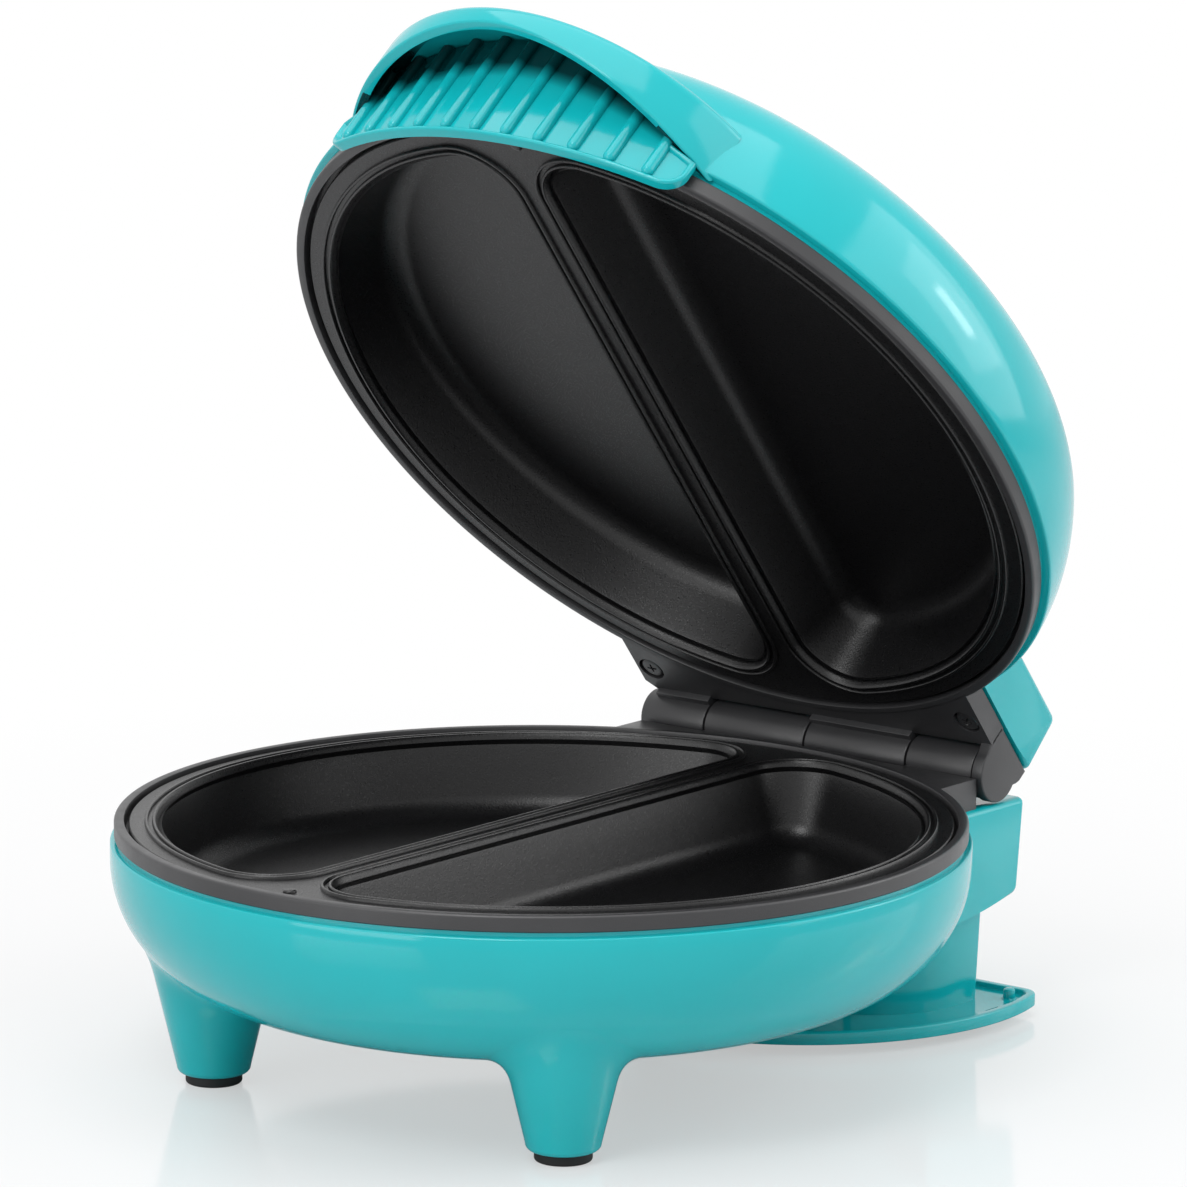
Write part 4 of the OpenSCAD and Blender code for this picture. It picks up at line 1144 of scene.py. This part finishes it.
def dome_core():
    """A body that ends inside the lid's wall, to cut away what reaches into the lid"""
    inwards = body().wall / 2
    curve = dome_side(inwards, (8, 16, 6), 2)
    return turn("dome_core", [(0, -4), (body().lid_radius - inwards, -4)] + curve, 120)


def hood_parts():
    """The hood's distance from the axis and its radius, and the centres of its edge's and its top's arcs"""
    g = grip()
    r, front, half = body().lid_radius, g.hood_reach, g.hood_half
    centre = (front * front - r * r) / (2 * (front - math.sqrt(r * r - half * half)))
    reach = front - centre
    edge = (reach - HOOD_EDGE_RADIUS, g.hood_height - HOOD_EDGE_RADIUS)
    return centre, reach, edge, beyond(edge, HOOD_EDGE_RADIUS - HOOD_TOP_RADIUS, 90 - HOOD_SLOPE)


def arch(x):
    """Height of the hood's arched edge"""
    g = grip()
    return g.arch_middle - (g.arch_middle - g.arch_end) * (abs(x) / g.hood_half) ** ARCH_POWER


def hood_blank():
    """The hood before it is cut to the dome, with its lower edge arched"""
    wall = body().wall
    centre, reach, edge_c, top_c = hood_parts()
    base, swing, steps = 8.0, 132, 132
    edge_r, top_r, front = HOOD_EDGE_RADIUS, HOOD_TOP_RADIUS, 90 - HOOD_SLOPE
    outside = [(reach, base)] + arc(edge_c, edge_r, 0, front, 9) + arc(top_c, top_r, front + 1.5, 84, 18)
    inside = ([(reach - wall, base)] + arc(edge_c, edge_r - wall, 0, front, 3)
              + arc(top_c, top_r - wall, front + 2, 83, 9))
    a = math.radians(swing / 2 - 90)
    loop = [(r * math.cos(a), r * math.sin(a) - centre, z) for r, z in outside + inside[::-1]]
    hood = draw("hood", loop, True)
    bpy.ops.mesh.spin(steps=steps, angle=math.radians(swing), use_auto_merge=False, center=(0, -centre, 0),
                      axis=(0, 0, 1))
    pick(hood, "EDGE", lambda e: len(e.link_faces) == 1)
    bpy.ops.mesh.edge_face_add()
    mend()
    shift(hood, lambda co: Vector((co.x, co.y, arch(co.x))) if co.z < base + 0.5 else co)

    def out(v):
        return math.hypot(v.co.x, v.co.y + centre)

    def outer_edge(e):
        near, far = sorted(out(v) for v in e.verts)
        on_arch = all(abs(v.co.z - arch(v.co.x)) < 0.01 for v in e.verts)
        return sharp(e, 60) and on_arch and far - near < 0.05 and near > reach - 0.5

    soften(hood, 0.8, 3, outer_edge)
    return hood


def inside_hood(face):
    """Whether a face of the lid lines the hollow under the hood, where the painted shade goes"""
    centre, reach = hood_parts()[:2]
    c = face.calc_center_median()
    from_hood = Vector((c.x, c.y + centre, 0))
    return (c.y < -60 and from_hood.length > reach - body().wall - 4.0
            and face.normal.dot(from_hood.normalized()) < -0.2
            and math.hypot(c.x, c.y) > body().lid_radius - 2.0)


def dome_shell():
    """The dome, with the seat of the upper ring inside its edge"""
    b = body()
    r, ring, band = b.lid_radius, b.ring_radius, b.band_height
    rim = band + b.step_height
    outer = [p for p in dome_side(0, (12, 30, 14)) if p[1] > rim + 0.55]
    inner = dome_side(b.wall, (4, 10, 6), 6)
    edge = arc((r - 0.5, rim + 0.5), 0.5, -90, 0, 4)
    section = ([(ring - 0.6, rim)] + edge + outer + inner[::-1]
               + [(r - 2.4, 8.6), (ring - 1.9, 7.5), (ring - 1.9, band), (ring - 0.6, band)])
    return turn("lid_shell", section, 200, True)


def lid_block_low():
    above_flange = 0.8
    return hinge().flange_thickness + above_flange


def lid_block():
    """The lid's block over the hinge"""
    half, front, low, high = hinge().block_half, 84, lid_block_low(), 23
    rear = hinge().block_rear - 2.2
    block = across("lid_block", [(front, low), (rear, low), (rear - 1.7, high), (front, high)], -half, half)
    soften_rear(block)
    soften(block, 3.0, 5, lambda e: sharp(e, 30) and least(e, Z) > high - 0.5)
    soften(block, 1.4, 4, lambda e: sharp(e, 30) and most(e, Z) < low + 0.5 and least(e, Y) > 90)
    return block


class MAKER_OT_lid_shell(bpy.types.Operator):
    """Models the domed lid with its arched hood and the block over the hinge"""

    bl_idname = "maker.lid_shell"
    bl_label = "Lid shell"

    def execute(self, context):
        lid = dome_shell()
        for part in (hood_blank(), lid_block()):
            carve(part, dome_core())
            carve(lid, part, "UNION")
        carve_box(lid, (0, 115, lid_block_low() - 10), (2 * hinge().block_half + 0.4, 60, 20))
        light_radius, light_depth = 4.1, 14
        for x in (-LIGHT_SIDE, LIGHT_SIDE):
            carve_round(lid, (x, -LIGHT_FRONT, 42), light_radius, light_depth)
        lid.data.materials.append(material("teal_gloss"))
        lid.data.materials.append(material("teal_hollow"))
        # The faces that line the hollow under the hood take the material with painted shade
        edit(lid, "FACE")
        pick(lid, "FACE", inside_hood)
        lid.active_material_index = 1
        bpy.ops.object.material_slot_assign()
        finish(lid, "lid_shell_cover", "lid", "teal_shell", "lid_shell", 30)
        return {"FINISHED"}


class MAKER_OT_grip(bpy.types.Operator):
    """Models the ribbed grip panel under the hood"""

    bl_idname = "maker.grip"
    bl_label = "Grip panel"

    def execute(self, context):
        g, b = grip(), body()
        r = b.lid_radius + 2.1
        half, corner_r = g.hood_half - 0.8, g.panel_corner
        flat = half - corner_r
        end_rise, below_hood = 2.1, 0.3
        thick, sunk = 2.2, 1.8
        centre, reach, _, top_c = hood_parts()
        side_y = (r * r + centre * centre - (reach - b.wall - 0.3) ** 2) / (2 * centre)
        free = math.sqrt(r * r - side_y * side_y) - 0.8

        def edge_height(x):
            return end_rise * (x / half) ** 2 - g.lip_drop

        corner_z = edge_height(flat) + corner_r

        def bottom(x):
            x = abs(x)
            if x <= flat:
                return edge_height(x)
            return corner_z - math.sqrt(max(0.0, corner_r ** 2 - (x - flat) ** 2))

        def top(x):
            x = abs(x)
            if x > free:
                return arch(x) - below_hood
            out = math.hypot(x, math.sqrt(r * r - x * x) - centre)
            return top_c[1] + math.sqrt((HOOD_TOP_RADIUS - b.wall) ** 2 - (out - top_c[0]) ** 2) - 0.5

        lower_edge = [(flat * i / 24, bottom(flat * i / 24)) for i in range(-24, 25)]
        shoulder = [(half, arch(half) - below_hood), (free + 0.05, arch(free) - below_hood)]
        upper_edge = [(free * i / 16, top(free * i / 16)) for i in range(16, -17, -1)]
        outline = (lower_edge + arc((flat, corner_z), corner_r, -88, 0, 12)[1:] + shoulder + upper_edge
                   + [(-x, z) for x, z in shoulder[::-1]]
                   + arc((-flat, corner_z), corner_r, 180, 268, 12)[:-1])
        panel = slab("grip_panel", [(x, sunk, z) for x, z in outline], (0, -thick, 0))
        edit(panel, "FACE")
        pick(panel, "FACE", lambda f: f.normal.y < -0.9 and len(f.verts) > 40)
        for width, rise in ((0.1, 0.26), (0.13, 0.16), (0.17, 0.1), (0.3, 0.03), (0.25, -0.1), (0.18, -0.2),
                            (0.14, -0.3), (0.18, -0.35)):
            bpy.ops.mesh.inset(thickness=width, depth=rise, use_even_offset=True)
        for i in range(-34, 35):
            bpy.ops.mesh.select_all(action="SELECT")
            bpy.ops.mesh.bisect(plane_co=(1.5 * i + 0.01, 0, 0), plane_no=(1, 0, 0))

        def bend(co):
            """Wraps the flat panel round the lid; its lip fades out where it goes under the hood"""
            a = math.asin(co.x / r)
            under = co.z > top(co.x) - 2.6 and abs(co.x) < free + 0.2
            out = r + (min(-co.y, 0.0) if under else -co.y)
            return Vector((out * math.sin(a), -out * math.cos(a), co.z))

        shift(panel, bend)
        ribs = []
        for i in range(-5, 6):
            x = i * g.rib_pitch
            a, rib_r, rib_out = math.asin(x / r), g.rib_radius, r + 0.3
            start, end = bottom(x) + 0.9, top(x) - 0.1
            section = [(0, start)] + arc((0, start + rib_r), rib_r, -80, 0, 6) + [(rib_r, end), (0, end)]
            rib = turn("rib", section, 20)
            place(rib, Matrix.Translation((rib_out * math.sin(a), -rib_out * math.cos(a), 0)))
            ribs.append(rib)
        join(panel, ribs)
        # The panel takes the material with painted shade above the arched edge
        finish(panel, "grip_panel", "lid", "teal_shell", "grip_insert", 40, "teal_recess")
        return {"FINISHED"}


# Stage: softboxes with their place, their two sides and their power, and the photograph's camera
SOFTBOX_AIM = Vector((0, 0, 0.1))
SOFTBOXES = (
    ("softbox_top", (-0.08, -0.05, 1.35), 1.3, 1.3, 10.0),
    ("softbox_side", (0.857, 0.67, 0.6), 1.2, 1.0, 5.8),
    ("softbox_halo", (0.661, 0.784, 0.575), 0.42, 0.5, 0.9),
    ("softbox_spot", (0.631, 0.754, 0.555), 0.1, 0.2, 0.36),
    ("softbox_front", (-0.25, -1.55, 0.45), 1.0, 0.6, 5.0),
    ("softbox_key", (0.266, -0.993, 1.3), 0.6, 0.6, 9.0),
)
WORLD_LIGHT = 0.43
VIEW_TURN = math.radians(38.812)
VIEW_RISE = math.radians(11.245)
VIEW_ROLL = math.radians(0.324)
VIEW_DISTANCE = 1767.36
VIEW_RIGHT = 12.091
VIEW_UP = 56.118
VIEW_HEIGHT = 60
LENS = 224.34


def softbox(name, where, size, size_y, power):
    clear()
    bpy.ops.object.light_add(type="AREA", location=where)
    light = bpy.context.object
    light.name = name
    light.data.shape = "RECTANGLE"
    light.data.size = size
    light.data.size_y = size_y
    light.data.energy = power
    light.rotation_euler = (SOFTBOX_AIM - Vector(where)).to_track_quat("-Z", "Y").to_euler()


def table_white():
    """A pale glossy table that fades to white for the camera"""
    s = Surface("table_white")
    s.clouds(finishes().table, 0.99, 1.01, 3.0)
    s.shade({"Roughness": 0.1, "Specular IOR Level": 0.8})
    glow = s.add("ShaderNodeEmission", {"Color": (1, 1, 1, 1)}, "Emission")
    away = s.add("ShaderNodeVectorMath", {0: s.place}, "Value", operation="LENGTH")
    fade = s.number("MULTIPLY", s.span(away, 0.48, 1.0, 0.13, 0.42),
                    s.add("ShaderNodeLightPath", {}, "Is Camera Ray"))
    both = s.add("ShaderNodeMixShader", {"Fac": fade, 1: s.shader.outputs["BSDF"], 2: glow}, "Shader")
    s.feed(s.nodes["Material Output"], {"Surface": both})
    return s.material


def studio():
    """A white world for the camera and reflections, and a plain level of light on the object"""
    world = bpy.data.worlds.new("studio")
    w = Nodes(world)
    white = (1, 1, 1, 1)
    w.feed(w.nodes["Background"], {"Color": white, "Strength": 1.0})
    seen = w.nodes["Background"].outputs["Background"]
    unseen = w.add("ShaderNodeBackground", {"Color": white, "Strength": WORLD_LIGHT}, "Background")
    rays = w.nodes.new("ShaderNodeLightPath").outputs
    shows = w.number("MAXIMUM", w.number("MAXIMUM", rays["Is Camera Ray"], rays["Is Glossy Ray"]),
                     rays["Is Transmission Ray"])
    both = w.add("ShaderNodeMixShader", {"Fac": shows, 1: unseen, 2: seen}, "Shader")
    w.feed(w.nodes["World Output"], {"Surface": both})
    return world


def camera():
    """The photograph's camera"""
    back = Vector((math.sin(VIEW_TURN) * math.cos(VIEW_RISE), -math.cos(VIEW_TURN) * math.cos(VIEW_RISE),
                   math.sin(VIEW_RISE)))
    right = Vector((math.cos(VIEW_TURN), math.sin(VIEW_TURN), 0))
    up = back.cross(right)
    eye = (right * VIEW_RIGHT + up * VIEW_UP + Vector((0, pin_y - hinge_y(), VIEW_HEIGHT))
           + back * VIEW_DISTANCE)
    rolled_right = right * math.cos(VIEW_ROLL) + up * math.sin(VIEW_ROLL)
    rolled_up = up * math.cos(VIEW_ROLL) - right * math.sin(VIEW_ROLL)
    bpy.ops.object.camera_add(location=(0, 0, 0))
    view = bpy.context.object
    view.matrix_world = (Matrix.Translation(eye * 0.001)
                         @ Matrix((rolled_right, rolled_up, back)).transposed().to_4x4())
    view.data.sensor_width = 36.0
    view.data.sensor_height = 36.0
    view.data.sensor_fit = "HORIZONTAL"
    view.data.lens = LENS
    view.data.clip_start = 0.05
    view.data.clip_end = 50
    return view


class MAKER_OT_stage(bpy.types.Operator):
    """Sets up the floor, the lights and the camera"""

    bl_idname = "maker.stage"
    bl_label = "Stage"

    def execute(self, context):
        scene = context.scene
        clear()
        bpy.ops.mesh.primitive_plane_add(size=8, location=(0, 0, 0))
        floor = bpy.context.object
        floor.name = "table_top"
        floor.data.materials.append(table_white())
        scene.world = studio()
        for box in SOFTBOXES:
            softbox(*box)
        scene.view_settings.view_transform = "Standard"
        scene.camera = camera()
        return {"FINISHED"}


STEPS = (MAKER_OT_frame_finish, MAKER_OT_base_housing, MAKER_OT_feet, MAKER_OT_wrap_plate,
         MAKER_OT_small_parts, MAKER_OT_rings, MAKER_OT_flange_screws, MAKER_OT_plates,
         MAKER_OT_lid_shell, MAKER_OT_grip, MAKER_OT_stage)
GROUPS = {"maker_body": BodySizes, "maker_hinge": HingeSizes, "maker_plate": PlateSizes,
          "maker_grip": GripSizes, "maker_finish": Finishes}


class MAKER_PT_panel(bpy.types.Panel):
    """Lists the steps and the sizes and colours that they read"""

    bl_idname = "MAKER_PT_panel"
    bl_label = "Omelette maker"
    bl_space_type = "VIEW_3D"
    bl_region_type = "UI"
    bl_category = "Omelette maker"

    def draw(self, context):
        column = self.layout.column()
        for step in STEPS:
            column.operator(step.bl_idname)
        for name, group in GROUPS.items():
            box = self.layout.box()
            for key in group.__annotations__:
                box.prop(getattr(context.scene, name), key)


def register():
    for name, group in GROUPS.items():
        bpy.utils.register_class(group)
        setattr(bpy.types.Scene, name, bpy.props.PointerProperty(type=group))
    for step in STEPS:
        bpy.utils.register_class(step)
    bpy.utils.register_class(MAKER_PT_panel)


def unregister():
    bpy.utils.unregister_class(MAKER_PT_panel)
    for step in reversed(STEPS):
        bpy.utils.unregister_class(step)
    for name, group in reversed(GROUPS.items()):
        delattr(bpy.types.Scene, name)
        bpy.utils.unregister_class(group)


def main():
    register()
    bpy.ops.maker.frame_finish()
    bpy.ops.maker.base_housing()
    bpy.ops.maker.feet()
    bpy.ops.maker.wrap_plate()
    bpy.ops.maker.small_parts()
    bpy.ops.maker.rings()
    bpy.ops.maker.flange_screws()
    bpy.ops.maker.plates()
    bpy.ops.maker.lid_shell()
    bpy.ops.maker.grip()
    bpy.ops.maker.stage()


if __name__ == "__main__":
    main()
